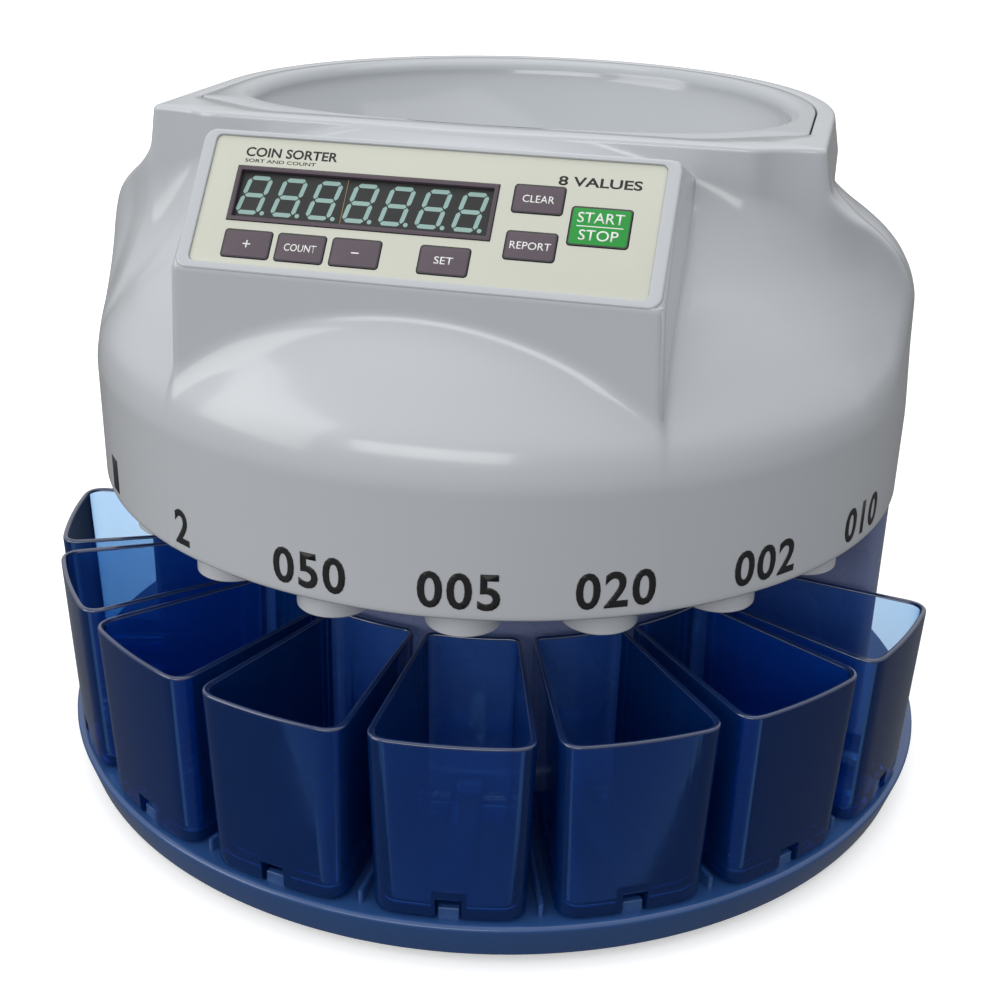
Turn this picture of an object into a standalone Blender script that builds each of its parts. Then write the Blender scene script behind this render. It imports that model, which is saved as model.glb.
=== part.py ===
"""Coin sorting machine: a round base with nine pull-out bins, a column, and a head that
holds the hopper, the sorting disc with its drive, and the control panel.

Metres, +Z up, the front of the machine towards -Y. The origin is on the surface that the
machine stands on, below the middle of the base.
"""

import math

import bmesh
import bpy
from mathutils import Matrix, Vector

MM = 0.001
GAP = 0.3 * MM

# Driving dimensions, all in millimetres.
FOOT_H = 4.0
FOOT_R = 9.0
FOOT_CIRCLE = 150.0
SCREW_CIRCLE = 110.0
TRAY_R = 177.5
TRAY_FOOT_R = 173.5
TRAY_TOP = 18.4
BIN_TOP = 88.4
HEAD_BOTTOM = 121.9
HEAD_TOP = 257.0
DRUM_R = 157.0
HOPPER_HALF_WIDTH = 118.5
HOPPER_CENTRE_Y = 15.0
HOPPER_FRONT = 61.0
GROOVE_HALF = 112.0
GROOVE_FRONT = 51.0
GROOVE_SWEEP = 20.0
MOUTH_R = 102.0
MOUTH_FRONT = 46.0
SHELL = 2.6
FLOOR_R = DRUM_R - SHELL - 2.6

COIN_SIZES = ["5", "1", "2", "050", "005", "020", "002", "010"]
BIN_PITCH = 20.5
CHUTE_PITCH = 18.4
MIDDLE_BIN_ANGLE = -1.45
MIDDLE_CHUTE_ANGLE = -0.4
BIN_OUTER_R = 177.4
BIN_INNER_R = 105.0
BIN_HALF_ANGLE = 9.15
BIN_WALL = 2.0
CHANNEL_HALF = 4.4
CHANNEL_H = 9.0
TAB_HALF = 3.6
TAB_H = 4.5

COLUMN_R = 100.0
REAR_R = 156.0
REAR_HALF_ANGLE = 97.0
ROCKER_TILT = 8.0

PANEL_TILT = 50.5
PANEL_Y = -128.5
PANEL_Z = 222.9
PANEL_W = 146.8
PANEL_H = 44.7
PANEL_BORDER = 2.9
PANEL_TOP_BORDER = 2.2
BOX_HALF = 79.0
BOX_DRAFT = 0.05
BOX_TOP_FALL = 0.31

DISC_R = 58.0
DISC_Y = 8.0
DISC_Z = 197.0
SORTER_Z = 186.0
GEAR_MODULE = 1.6
GEAR_TEETH = 48
PINION_TEETH = 12

MATERIALS = {
    "head_plastic": ((0.60, 0.63, 0.67), 0.22, 0.0, 1.0),
    "blue_plastic": ((0.03, 0.08, 0.22), 0.35, 0.0, 1.0),
    "bin_plastic": ((0.02, 0.12, 0.55), 0.08, 0.0, 0.45),
    "overlay": ((0.76, 0.77, 0.65), 0.45, 0.0, 1.0),
    "display_frame": ((0.08, 0.06, 0.09), 0.4, 0.0, 1.0),
    "display": ((0.02, 0.02, 0.02), 0.15, 0.0, 1.0),
    "key_plum": ((0.11, 0.08, 0.11), 0.4, 0.0, 1.0),
    "key_green": ((0.0, 0.28, 0.06), 0.4, 0.0, 1.0),
    "black_plastic": ((0.02, 0.02, 0.02), 0.4, 0.0, 1.0),
    "rubber": ((0.03, 0.03, 0.03), 0.8, 0.0, 1.0),
    "steel": ((0.6, 0.6, 0.62), 0.3, 1.0, 1.0),
    "brass": ((0.75, 0.55, 0.2), 0.3, 1.0, 1.0),
    "nylon": ((0.8, 0.78, 0.7), 0.4, 0.0, 1.0),
    "circuit_board": ((0.02, 0.2, 0.08), 0.5, 0.0, 1.0),
}


def clear_scene():
    for obj in list(bpy.data.objects):
        bpy.data.objects.remove(obj, do_unlink=True)


def material(name):
    found = bpy.data.materials.get(name)
    if found:
        return found
    colour, roughness, metallic, alpha = MATERIALS[name]
    made = bpy.data.materials.new(name)
    made.use_nodes = True
    shader = made.node_tree.nodes["Principled BSDF"]
    shader.inputs["Base Color"].default_value = (*colour, 1.0)
    shader.inputs["Roughness"].default_value = roughness
    shader.inputs["Metallic"].default_value = metallic
    shader.inputs["Alpha"].default_value = alpha
    return made


def empty(name, location=(0, 0, 0), rotation=(0, 0, 0), parent=None):
    """A frame that pieces hang on; location in millimetres, rotation in degrees."""
    made = bpy.data.objects.new(name, None)
    made.location = Vector(location) * MM
    made.rotation_euler = [math.radians(angle) for angle in rotation]
    made.parent = parent
    bpy.context.scene.collection.objects.link(made)
    return made


def add_object(name, mesh, colour, location=(0, 0, 0), rotation=(0, 0, 0), parent=None):
    """Links a mesh as an object; location in millimetres, rotation in degrees."""
    made = bpy.data.objects.new(name, mesh)
    if not mesh.materials:
        mesh.materials.append(material(colour))
    made.location = Vector(location) * MM
    made.rotation_euler = [math.radians(angle) for angle in rotation]
    made.parent = parent
    bpy.context.scene.collection.objects.link(made)
    return made


def closed_mesh(name, points, faces):
    """A mesh from millimetre points whose faces are turned outwards and shaded smooth."""
    bm = bmesh.new()
    verts = [bm.verts.new(Vector(point) * MM) for point in points]
    for face in faces:
        bm.faces.new([verts[i] for i in face])
    bmesh.ops.remove_doubles(bm, verts=bm.verts, dist=1e-7)
    bmesh.ops.recalc_face_normals(bm, faces=bm.faces)
    if bm.calc_volume(signed=True) < 0:
        bmesh.ops.reverse_faces(bm, faces=bm.faces)
    mesh = bpy.data.meshes.new(name)
    bm.to_mesh(mesh)
    bm.free()
    mesh.shade_smooth()
    mesh.set_sharp_from_angle(angle=math.radians(35))
    return mesh


def turned(name, profile, segments=48, centre=(0.0, 0.0)):
    """Turns a closed (radius, height) outline about a vertical axis at centre."""
    points, rings = [], []
    for radius, height in profile:
        if radius < 1e-6:
            rings.append([len(points)] * segments)
            points.append((centre[0], centre[1], height))
            continue
        rings.append(list(range(len(points), len(points) + segments)))
        for i in range(segments):
            angle = math.tau * i / segments
            points.append(
                (centre[0] + radius * math.cos(angle), centre[1] + radius * math.sin(angle), height)
            )
    faces = []
    for j, lower in enumerate(rings):
        upper = rings[(j + 1) % len(rings)]
        for i in range(segments):
            k = (i + 1) % segments
            quad = list(dict.fromkeys([lower[i], lower[k], upper[k], upper[i]]))
            if len(quad) > 2:
                faces.append(quad)
    return closed_mesh(name, points, faces)


def loft(name, rings):
    """Skins rings of the same number of points, with a flat cap at each end."""
    count = len(rings[0])
    points = [point for ring in rings for point in ring]
    faces = [list(range(count)), list(range(len(points) - count, len(points)))]
    for j in range(len(rings) - 1):
        for i in range(count):
            k = (i + 1) % count
            faces.append([j * count + i, j * count + k, (j + 1) * count + k, (j + 1) * count + i])
    return closed_mesh(name, points, faces)


def tube_loft(name, outer, inner):
    """Skins an outer and an inner set of rings into one open-ended tube."""
    loops = outer + inner[::-1]
    count = len(loops[0])
    points = [point for ring in loops for point in ring]
    faces = []
    for j in range(len(loops)):
        below, above = j * count, ((j + 1) % len(loops)) * count
        for i in range(count):
            k = (i + 1) % count
            faces.append([below + i, below + k, above + k, above + i])
    return closed_mesh(name, points, faces)


def prism(name, outline, low, high):
    """Extrudes an (x, y) outline from one height to another."""
    return loft(name, [[(x, y, z) for x, y in outline] for z in (low, high)])


def box_mesh(name, low, high):
    outline = [(low[0], low[1]), (high[0], low[1]), (high[0], high[1]), (low[0], high[1])]
    return prism(name, outline, low[2], high[2])


def polar(radius, angle):
    """A point at an angle in degrees from the front, positive towards +X."""
    turn = math.radians(angle)
    return radius * math.sin(turn), -radius * math.cos(turn)


def arc(radius, start, end, steps, centre=(0.0, 0.0)):
    """Points along a circle, angles as polar() measures them."""
    points = []
    for i in range(steps + 1):
        x, y = polar(radius, start + (end - start) * i / steps)
        points.append((centre[0] + x, centre[1] + y))
    return points


def circle(radius, segments, centre=(0.0, 0.0)):
    return arc(radius, 0, 360 - 360 / segments, segments - 1, centre)


def triangulated(mesh):
    bm = bmesh.new()
    bm.from_mesh(mesh)
    bmesh.ops.triangulate(bm, faces=bm.faces)
    bm.to_mesh(mesh)
    bm.free()
    return mesh


def combine(base, others, operation):
    """Applies Booleans to a mesh and returns the result as a new mesh."""
    holder = bpy.data.objects.new("holder", base)
    bpy.context.scene.collection.objects.link(holder)
    helpers = []
    for other in others:
        helper = bpy.data.objects.new("helper", other)
        bpy.context.scene.collection.objects.link(helper)
        helpers.append(helper)
        modifier = holder.modifiers.new("cut", "BOOLEAN")
        modifier.operation = operation
        modifier.object = helper
    bpy.context.view_layer.update()
    graph = bpy.context.evaluated_depsgraph_get()
    result = bpy.data.meshes.new_from_object(holder.evaluated_get(graph))
    for obj in [holder] + helpers:
        bpy.data.objects.remove(obj, do_unlink=True)
    result.materials.clear()
    bm = bmesh.new()
    bm.from_mesh(result)
    bmesh.ops.remove_doubles(bm, verts=bm.verts, dist=2e-5)
    bmesh.ops.dissolve_degenerate(bm, edges=bm.edges, dist=2e-5)
    bm.to_mesh(result)
    bm.free()
    result.shade_smooth()
    result.set_sharp_from_angle(angle=math.radians(32))
    return result


def smooth_min(a, b, width):
    """The lesser of two lengths, with the corner between them rounded."""
    blend = max(width - abs(a - b), 0.0) / width
    return min(a, b) - blend * blend * width / 4


def ease(value):
    value = min(max(value, 0.0), 1.0)
    return value * value * (3 - 2 * value)


# The head. Its body is a drum under a shoulder and a D-shaped hopper wall; a front cut flares
# from the hopper's straight front down into the deck, and the panel box stands in that cut.


def between(table, value):
    """Linear interpolation in a table of (position, value) pairs, positions rising."""
    for (x0, y0), (x1, y1) in zip(table, table[1:]):
        if value < x1:
            share = min(max((value - x0) / (x1 - x0), 0.0), 1.0)
            return y0 + (y1 - y0) * share
    return table[-1][1]


def from_front(angle):
    """How far an angle is from the front, in degrees, either way round."""
    return abs((angle + 180) % 360 - 180)


def outline_distance(x, y, half, front, sweep, blend, straight):
    """Signed distance to a hopper outline: round at the rear, straight or curved at the front."""
    shape = math.hypot(x, y - HOPPER_CENTRE_Y) - half
    if straight:
        side = abs(x) - half
        shape = min(shape, max(side, y - HOPPER_CENTRE_Y))
    ahead = -y - (front - sweep * ease((abs(x) - 70.0) / 46.0))
    return -smooth_min(-shape, -ahead, blend)


def outline_radius(angle, half, front, sweep=0.0, blend=1.0, straight=True):
    """Where a ray from the axis leaves a hopper outline."""
    low, high = 0.0, 200.0
    for _ in range(40):
        middle = (low + high) / 2
        x, y = polar(middle, angle)
        if outline_distance(x, y, half, front, sweep, blend, straight) < 0:
            low = middle
        else:
            high = middle
    return low


def groove_radius(angle, gap):
    """Where the bowl insert meets the head."""
    return outline_radius(angle, GROOVE_HALF - gap, GROOVE_FRONT - gap, GROOVE_SWEEP)


def mouth_radius(angle):
    """The top edge of the bowl."""
    return outline_radius(angle, MOUTH_R, MOUTH_FRONT, 0.0, 50.0, False)


# How far out the shoulder has come, from the hopper wall (0) to the drum (1), by height.
SHOULDER = [
    (166, 1.0), (192, 0.955), (210, 0.935), (216, 0.88), (222, 0.775), (226, 0.66),
    (230, 0.50), (232.5, 0.375), (235.5, 0.25), (238, 0.16), (240, 0.08), (243, 0.0),
]
# The front cut in plan, where it is steep: (degrees from the front, radius).
CUT_WALL = [
    (57.6, 113.8), (60.8, 117.2), (63.4, 123.3), (65.7, 132.4), (70.6, 138.8), (72.7, 141.4), (74.8, 146.1),
    (76.7, 149.5), (78.9, 152.9), (80.7, 155.2), (83.5, 159.0), (90.0, 176.0),
]
# The front cut where it flares out into the deck: (height, radius).
CUT_FLARE = [
    (160, 161.4), (166, 159.0), (171, 157.0), (176, 155.0), (181, 152.4), (186.5, 148.6),
    (190, 146.0), (196, 141.6), (202, 136.3), (209, 129.5), (216, 121.5), (224, 113.0),
    (230, 106.0), (237, 96.0), (243, 84.0), (250, 66.0), (257, 45.0), (264, 30.0),
]


def body_radius(angle, z):
    """The head before the front cut. The shoulder sinks a little behind the cut."""
    hopper = outline_radius(angle, HOPPER_HALF_WIDTH, 75.0) + min(0.2 * (HEAD_TOP - z), 2.6)
    sink = 12.0 * ease((from_front(angle) - 72) / 18)
    return hopper + (DRUM_R - hopper) * between(SHOULDER, z + sink)


def cut_radius(angle, z):
    """The surface of the front cut; it reaches the drum about 80 degrees from the front."""
    turn = from_front(angle)
    wall = between(CUT_WALL, turn)
    if turn < CUT_WALL[0][0]:
        wall = HOPPER_FRONT / math.cos(math.radians(turn))
    return -smooth_min(-wall, -between(CUT_FLARE, z), 30.0)


def ring_at(radius_at, angles, z):
    return [(*polar(radius_at(angle, z), angle), z) for angle in angles]


BODY_ANGLES = [
    0, 15, 30, 45, 52, 56, 59, 62, 65, 68, 71, 74, 77, 80, 84, 88, 93, 101, 110, 120, 130, 140,
    150, 160, 170,
]
BODY_LEVELS = [
    HEAD_BOTTOM, 168, 190, 202, 208, 213, 217, 221, 225, 229, 233, 237, 241, 246, 255.5,
]
CUT_ANGLES = [0, 8, 16, 24, 30, 35, 40, 45, 50, 54, 57.6, 60.8, 63.4, 65.7, 68, 70.6, 72.7, 74.8, 76.7,
              78.9, 80.7, 83.5, 88]
CUT_LEVELS = [164, 168, 171.5, 176, 181, 186.5, 191, 196, 202, 209, 216, 224, 230, 236, 242, 247,
              252, 257, 262]


def mirrored(angles):
    return sorted({sign * angle for angle in angles for sign in (1, -1)})


def body_solid(name, inset, bottom, top, crown):
    angles = mirrored(BODY_ANGLES) + [180]
    levels = [bottom] + [z for z in BODY_LEVELS[1:] if z < top - crown]

    def radius_at(angle, z):
        return body_radius(angle, z) - inset

    rings = [ring_at(radius_at, angles, z) for z in levels]
    for z, less in ((top - crown, 0.0), (top, crown)):
        ring = [(*polar(radius_at(angle, z) - less, angle), z) for angle in angles]
        rings.append(ring)
    return loft(name, rings)


def cut_solid(name, inset):
    """Everything in front of the cut, as a solid to subtract."""
    angles = mirrored(CUT_ANGLES)
    inner = [ring_at(lambda angle, z: cut_radius(angle, z) - inset, angles, z) for z in CUT_LEVELS]
    points, faces = [], []
    for ring in inner:
        points += ring
        points += [(*polar(205.0, angle), ring[0][2]) for angle in angles]
    count = len(angles)
    for j in range(len(inner) - 1):
        here, there = 2 * j * count, 2 * (j + 1) * count
        for i in range(count - 1):
            faces.append([here + i, here + i + 1, there + i + 1, there + i])
            out, up = here + count + i, there + count + i
            faces.append([out, out + 1, up + 1, up])
        for i in (0, count - 1):
            faces.append([here + i, here + count + i, there + count + i, there + i])
    for start in (0, 2 * (len(inner) - 1) * count):
        for i in range(count - 1):
            faces.append([start + i, start + i + 1, start + count + i + 1, start + count + i])
    return closed_mesh(name, points, faces)


def panel_box(name, inset, back):
    """The wedge that carries the panel: leaning face, upright front, top falling to the rear."""
    tilt = math.radians(PANEL_TILT)
    low = (
        PANEL_Y - PANEL_BORDER * math.cos(tilt) + inset,
        PANEL_Z - PANEL_BORDER * math.sin(tilt) + inset * math.tan(tilt / 2),
    )
    length = PANEL_BORDER + PANEL_H + PANEL_TOP_BORDER - inset * 1.35
    high = (low[0] + length * math.cos(tilt), low[1] + length * math.sin(tilt))
    rear = (back, high[1] - (back - high[0]) * BOX_TOP_FALL)
    side_view = [low, high, rear, (back, 160.0 + inset), (low[0], 160.0 + inset)]
    rings = []
    for sign in (-1, 1):
        ring = []
        for y, z in side_view:
            half = BOX_HALF + (PANEL_Z - z) * BOX_DRAFT - inset
            ring.append((sign * half, y, z))
        rings.append(ring)
    return loft(name, rings)


def head_housing():
    solid = triangulated(body_solid("head", 0.0, HEAD_BOTTOM, HEAD_TOP, 1.5))
    solid = combine(solid, [triangulated(cut_solid("cut", 0.0))], "DIFFERENCE")
    solid = combine(solid, [panel_box("box", 0.0, -59.5)], "UNION")
    hollow = triangulated(body_solid("hollow", SHELL, HEAD_BOTTOM - 20, HEAD_TOP - SHELL, 0.5))
    hollow = combine(hollow, [triangulated(cut_solid("cut", SHELL + 1.0))], "DIFFERENCE")
    hollow = combine(hollow, [panel_box("box", SHELL, -53.0)], "UNION")
    solid = combine(solid, [hollow], "DIFFERENCE")
    mouth = []
    for angle in mirrored(BODY_ANGLES) + [180]:
        mouth.append(polar(groove_radius(angle, 0.0), angle))
    window = box_mesh(
        "window",
        (-PANEL_W / 2 - GAP / MM, -GAP / MM, -14.0),
        (PANEL_W / 2 + GAP / MM, PANEL_H + GAP / MM, 6.0),
    )
    window.transform(panel_matrix())
    solid = combine(solid, [prism("mouth", mouth, HEAD_TOP - 12, HEAD_TOP + 5)], "DIFFERENCE")
    solid = combine(solid, [window], "DIFFERENCE")
    add_object("head_housing", solid, "head_plastic")


def hopper_bowl():
    """The bowl insert: a flat rim, then walls that run down to the sorting disc."""
    angles = mirrored(BODY_ANGLES) + [180]
    thickness = 2.4
    foot = DISC_Z + 4.0
    levels = [0.0, 0.15, 0.4, 0.7, 1.0]
    rings = []
    for angle in angles:
        rim = groove_radius(angle, 0.4)
        mouth = mouth_radius(angle)
        x, y = polar(1.0, angle)
        base = DISC_R + 1.0
        down = y * DISC_Y + math.sqrt(max(base**2 - (x * DISC_Y) ** 2, 0))
        inner = [(mouth + 2.5, HEAD_TOP)]
        for level in levels:
            drop = 4.0 + (HEAD_TOP - 4.0 - foot) * level
            inner.append((mouth + (down - mouth) * level**1.25, HEAD_TOP - drop))
        outer = [(radius + thickness, z) for radius, z in inner[1:]]
        outer[0] = (mouth + thickness + 1.0, HEAD_TOP - thickness)
        loop = [(rim, HEAD_TOP)] + inner + outer[::-1] + [(rim, HEAD_TOP - thickness)]
        rings.append([(*polar(radius, angle), z) for radius, z in loop])
    add_object("hopper_bowl", tube_loft("hopper_bowl", rings, []), "head_plastic")


# The control panel, built in its own frame: X across, Y up the slope, Z out of the face.


def panel_matrix():
    place = Matrix.Translation(Vector((0, PANEL_Y, PANEL_Z)) * MM)
    return place @ Matrix.Rotation(math.radians(PANEL_TILT), 4, "X")


KEYS = {
    "key_plus": (-55.1, 7.2, 15.7, 9.3),
    "key_count": (-37.2, 7.2, 15.7, 9.3),
    "key_minus": (-19.1, 7.2, 15.7, 9.3),
    "key_set": (9.4, 7.2, 15.7, 9.3),
    "key_clear": (35.4, 30.2, 15.7, 9.3),
    "key_report": (35.4, 14.45, 15.7, 9.3),
    "key_start_stop": (55.6, 22.5, 18.5, 12.7),
}
DISPLAY = (-20.7, 24.75, 86.8, 19.6)
OVERLAY_FACE = -0.8
OVERLAY_BACK = -2.8
KEY_PROUD = 0.8


def rounded_outline(centre_x, centre_y, width, height, corner, steps=3):
    points = []
    for quarter, (sx, sy) in enumerate([(1, -1), (1, 1), (-1, 1), (-1, -1)]):
        cx = centre_x + sx * (width / 2 - corner)
        cy = centre_y + sy * (height / 2 - corner)
        for i in range(steps + 1):
            turn = math.radians(90 * (quarter - 1) + 90 * i / steps)
            points.append((cx + corner * math.cos(turn), cy + corner * math.sin(turn)))
    return points


def control_panel():
    frame = empty("panel_frame", (0, PANEL_Y, PANEL_Z), (PANEL_TILT, 0, 0))
    plate_outline = rounded_outline(0, PANEL_H / 2, PANEL_W, PANEL_H, 2.0)
    plate = prism("panel_overlay", plate_outline, OVERLAY_BACK, OVERLAY_FACE)
    holes = [box_mesh(
        "hole",
        (DISPLAY[0] - DISPLAY[2] / 2, DISPLAY[1] - DISPLAY[3] / 2, -6),
        (DISPLAY[0] + DISPLAY[2] / 2, DISPLAY[1] + DISPLAY[3] / 2, 3),
    )]
    for x, y, width, height in KEYS.values():
        holes.append(prism("hole", rounded_outline(x, y, width + 0.6, height + 0.6, 1.2), -6, 3))
    plate = combine(plate, holes, "DIFFERENCE")
    add_object("panel_overlay", plate, "overlay", parent=frame)

    x, y, width, height = DISPLAY
    bezel = prism(
        "display_bezel", rounded_outline(x, y, width - 0.6, height - 0.6, 0.4, 1), -7.0, -0.3
    )
    pocket = box_mesh(
        "pocket",
        (x - width / 2 + 1.5, y - height / 2 + 1.5, -9),
        (x + width / 2 - 1.5, y + height / 2 - 1.5, 3),
    )
    bezel = combine(bezel, [pocket], "DIFFERENCE")
    add_object("display_bezel", bezel, "display_frame", parent=frame)

    left, right = x - width / 2 + 1.8, x + width / 2 - 1.8
    split = left + (right - left) * 3 / 7
    low, high = y - height / 2 + 1.8, y + height / 2 - 1.8
    for name, start, end in [
        ("display_3_digit", left, split - 0.15),
        ("display_4_digit", split + 0.15, right),
    ]:
        mesh = box_mesh(name, (start, low, -8.8), (end, high, -1.8))
        add_object(name, mesh, "display", parent=frame)

    for name, (x, y, width, height) in KEYS.items():
        colour = "key_green" if name == "key_start_stop" else "key_plum"
        outline = rounded_outline(0, 0, width, height, 0.9)
        mesh = prism(name, outline, OVERLAY_BACK - 1.0, OVERLAY_FACE + KEY_PROUD)
        add_object(name, mesh, colour, location=(x, y, 0), parent=frame)

    board = box_mesh("control_board", (-68, 2, -10.8), (68, 38, -9.2))
    add_object("control_board", board, "circuit_board", parent=frame)


# The base with its feet, cover, ribs and tabs.


def base():
    inner, floor = TRAY_FOOT_R - 3.5, TRAY_TOP - 2.6
    tray = turned(
        "base_tray",
        [
            (0, floor), (inner - 4, floor), (inner, floor - 4), (inner, FOOT_H),
            (TRAY_FOOT_R, FOOT_H), (TRAY_R, TRAY_TOP - 1.4), (TRAY_R - 1.2, TRAY_TOP),
            (0, TRAY_TOP),
        ],
        72,
    )
    additions = []
    for i in range(len(COIN_SIZES) + 1):
        angle = MIDDLE_BIN_ANGLE + BIN_PITCH * (i - len(COIN_SIZES) / 2)
        rib = box_mesh("rib", (-0.9, -(TRAY_R - 6), TRAY_TOP - 1), (0.9, -112, TRAY_TOP + 5))
        rib.transform(Matrix.Rotation(math.radians(angle), 4, "Z"))
        additions.append(rib)
    for i in range(len(COIN_SIZES)):
        tab = box_mesh(
            "tab", (-TAB_HALF, -(TRAY_R - 4), TRAY_TOP - 1), (TAB_HALF, -(TRAY_R - 6.5), TRAY_TOP + TAB_H)
        )
        tab.transform(Matrix.Rotation(math.radians(bin_angle(i)), 4, "Z"))
        additions.append(tab)
    tray = combine(tray, additions, "UNION")
    add_object("base_tray", tray, "blue_plastic")

    cover = turned(
        "bottom_cover",
        [(0, FOOT_H), (inner - 0.8, FOOT_H), (inner - 0.8, FOOT_H + 2), (0, FOOT_H + 2)],
        48,
    )
    add_object("bottom_cover", cover, "black_plastic")
    for i in range(4):
        x, y = polar(FOOT_CIRCLE, 45 + 90 * i)
        foot = turned(
            "rubber_foot",
            [(0, 0), (FOOT_R - 1, 0), (FOOT_R, 1), (FOOT_R, FOOT_H - 0.3), (0, FOOT_H - 0.3)],
            20,
        )
        add_object(f"rubber_foot_{i + 1}", foot, "rubber", location=(x, y, 0))
    for i in range(3):
        x, y = polar(SCREW_CIRCLE, 120 * i)
        screw = turned(
            "cover_screw",
            [(0, FOOT_H - 2.0), (4, FOOT_H - 2.0), (4, FOOT_H - 0.3), (0, FOOT_H - 0.3)],
            16,
        )
        slot = box_mesh("slot", (-5, -0.6, FOOT_H - 3), (5, 0.6, FOOT_H - 1.2))
        screw = combine(screw, [slot], "DIFFERENCE")
        add_object(f"cover_screw_{i + 1}", screw, "steel", location=(x, y, 0))


def bin_angle(index):
    return MIDDLE_BIN_ANGLE + BIN_PITCH * (index - (len(COIN_SIZES) - 1) / 2)


def bin_outline(outer, inner, half_angle, corner, rear_corner):
    """A wedge between two arcs with rounded corners, its front towards -Y."""
    front_turn = math.degrees(corner / outer)
    rear_turn = math.degrees(rear_corner / inner)
    points = arc(outer, -half_angle + front_turn, half_angle - front_turn, 6)
    for sign, radius, direction, size, steps in [
        (1, outer, -1, corner, 3),
        (1, inner, 1, rear_corner, 2),
        (-1, inner, 1, rear_corner, 2),
        (-1, outer, -1, corner, 3),
    ]:
        turn = math.degrees(size / radius)
        cx, cy = polar(radius + direction * size, sign * (half_angle - turn))
        start = {(1, -1): 0, (1, 1): 90, (-1, 1): 180, (-1, -1): 270}[(sign, direction)]
        start += sign * (half_angle - turn)
        corner_points = []
        for step in range(1, steps):
            corner_points.append(polar_at(cx, cy, size, start + 90 * step / steps))
        if (sign, direction) == (1, -1):
            points += corner_points
            points.append(polar(outer - corner, half_angle))
        elif (sign, direction) == (1, 1):
            points.append(polar(inner + rear_corner, half_angle))
            points += corner_points
            points += arc(inner, half_angle - rear_turn, -half_angle + rear_turn, 3)
        elif (sign, direction) == (-1, 1):
            points += corner_points
            points.append(polar(inner + rear_corner, -half_angle))
            points.append(polar(outer - corner, -half_angle))
        else:
            points += corner_points
    return points


def polar_at(cx, cy, radius, angle):
    x, y = polar(radius, angle)
    return cx + x, cy + y


def coin_bin_mesh():
    floor = TRAY_TOP + GAP / MM
    wall = BIN_WALL
    outside, inside = [], []
    for share in (0.0, 0.03, 1.0):
        z = floor + (BIN_TOP - floor) * share
        shrink = 1.2 * (1 - min(share / 0.03, 1.0))
        outer = BIN_OUTER_R - 2.4 * (1 - share) - shrink
        inner = BIN_INNER_R + 1.5 * (1 - share) + shrink
        half = BIN_HALF_ANGLE - 0.45 * (1 - share) - math.degrees(shrink / 150)
        ring = bin_outline(outer, inner, half, 9.0, 4.0)
        outside.append([(x, y, z) for x, y in ring])
    for share in (0.0, 1.0):
        z = floor + wall + (BIN_TOP + 1 - floor - wall) * share
        outer = BIN_OUTER_R - 2.4 * (1 - share) - wall
        inner = BIN_INNER_R + 1.5 * (1 - share) + wall
        half = BIN_HALF_ANGLE - 0.45 * (1 - share) - math.degrees(wall / 141)
        ring = bin_outline(outer, inner, half, 7.2, 2.6)
        inside.append([(x, y, z) for x, y in ring])
    cup = combine(loft("cup", outside), [loft("hollow", inside)], "DIFFERENCE")
    ridge = box_mesh(
        "ridge",
        (-CHANNEL_HALF - 1.6, -(BIN_OUTER_R - 4.0), floor + 1.0),
        (CHANNEL_HALF + 1.6, -(BIN_INNER_R + 2.4), floor + CHANNEL_H + 1.6),
    )
    channel = box_mesh(
        "channel", (-CHANNEL_HALF, -(BIN_OUTER_R + 4), floor - 4),
        (CHANNEL_HALF, -(BIN_INNER_R - 6), floor + CHANNEL_H),
    )
    cup = combine(cup, [ridge], "UNION")
    cup = combine(cup, [channel], "DIFFERENCE")
    return cup


def coin_bins():
    mesh = coin_bin_mesh()
    for i, size in enumerate(COIN_SIZES):
        add_object(f"coin_bin_{size}", mesh, "bin_plastic", rotation=(0, 0, bin_angle(i)))


# The column and the rear housing.


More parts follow.
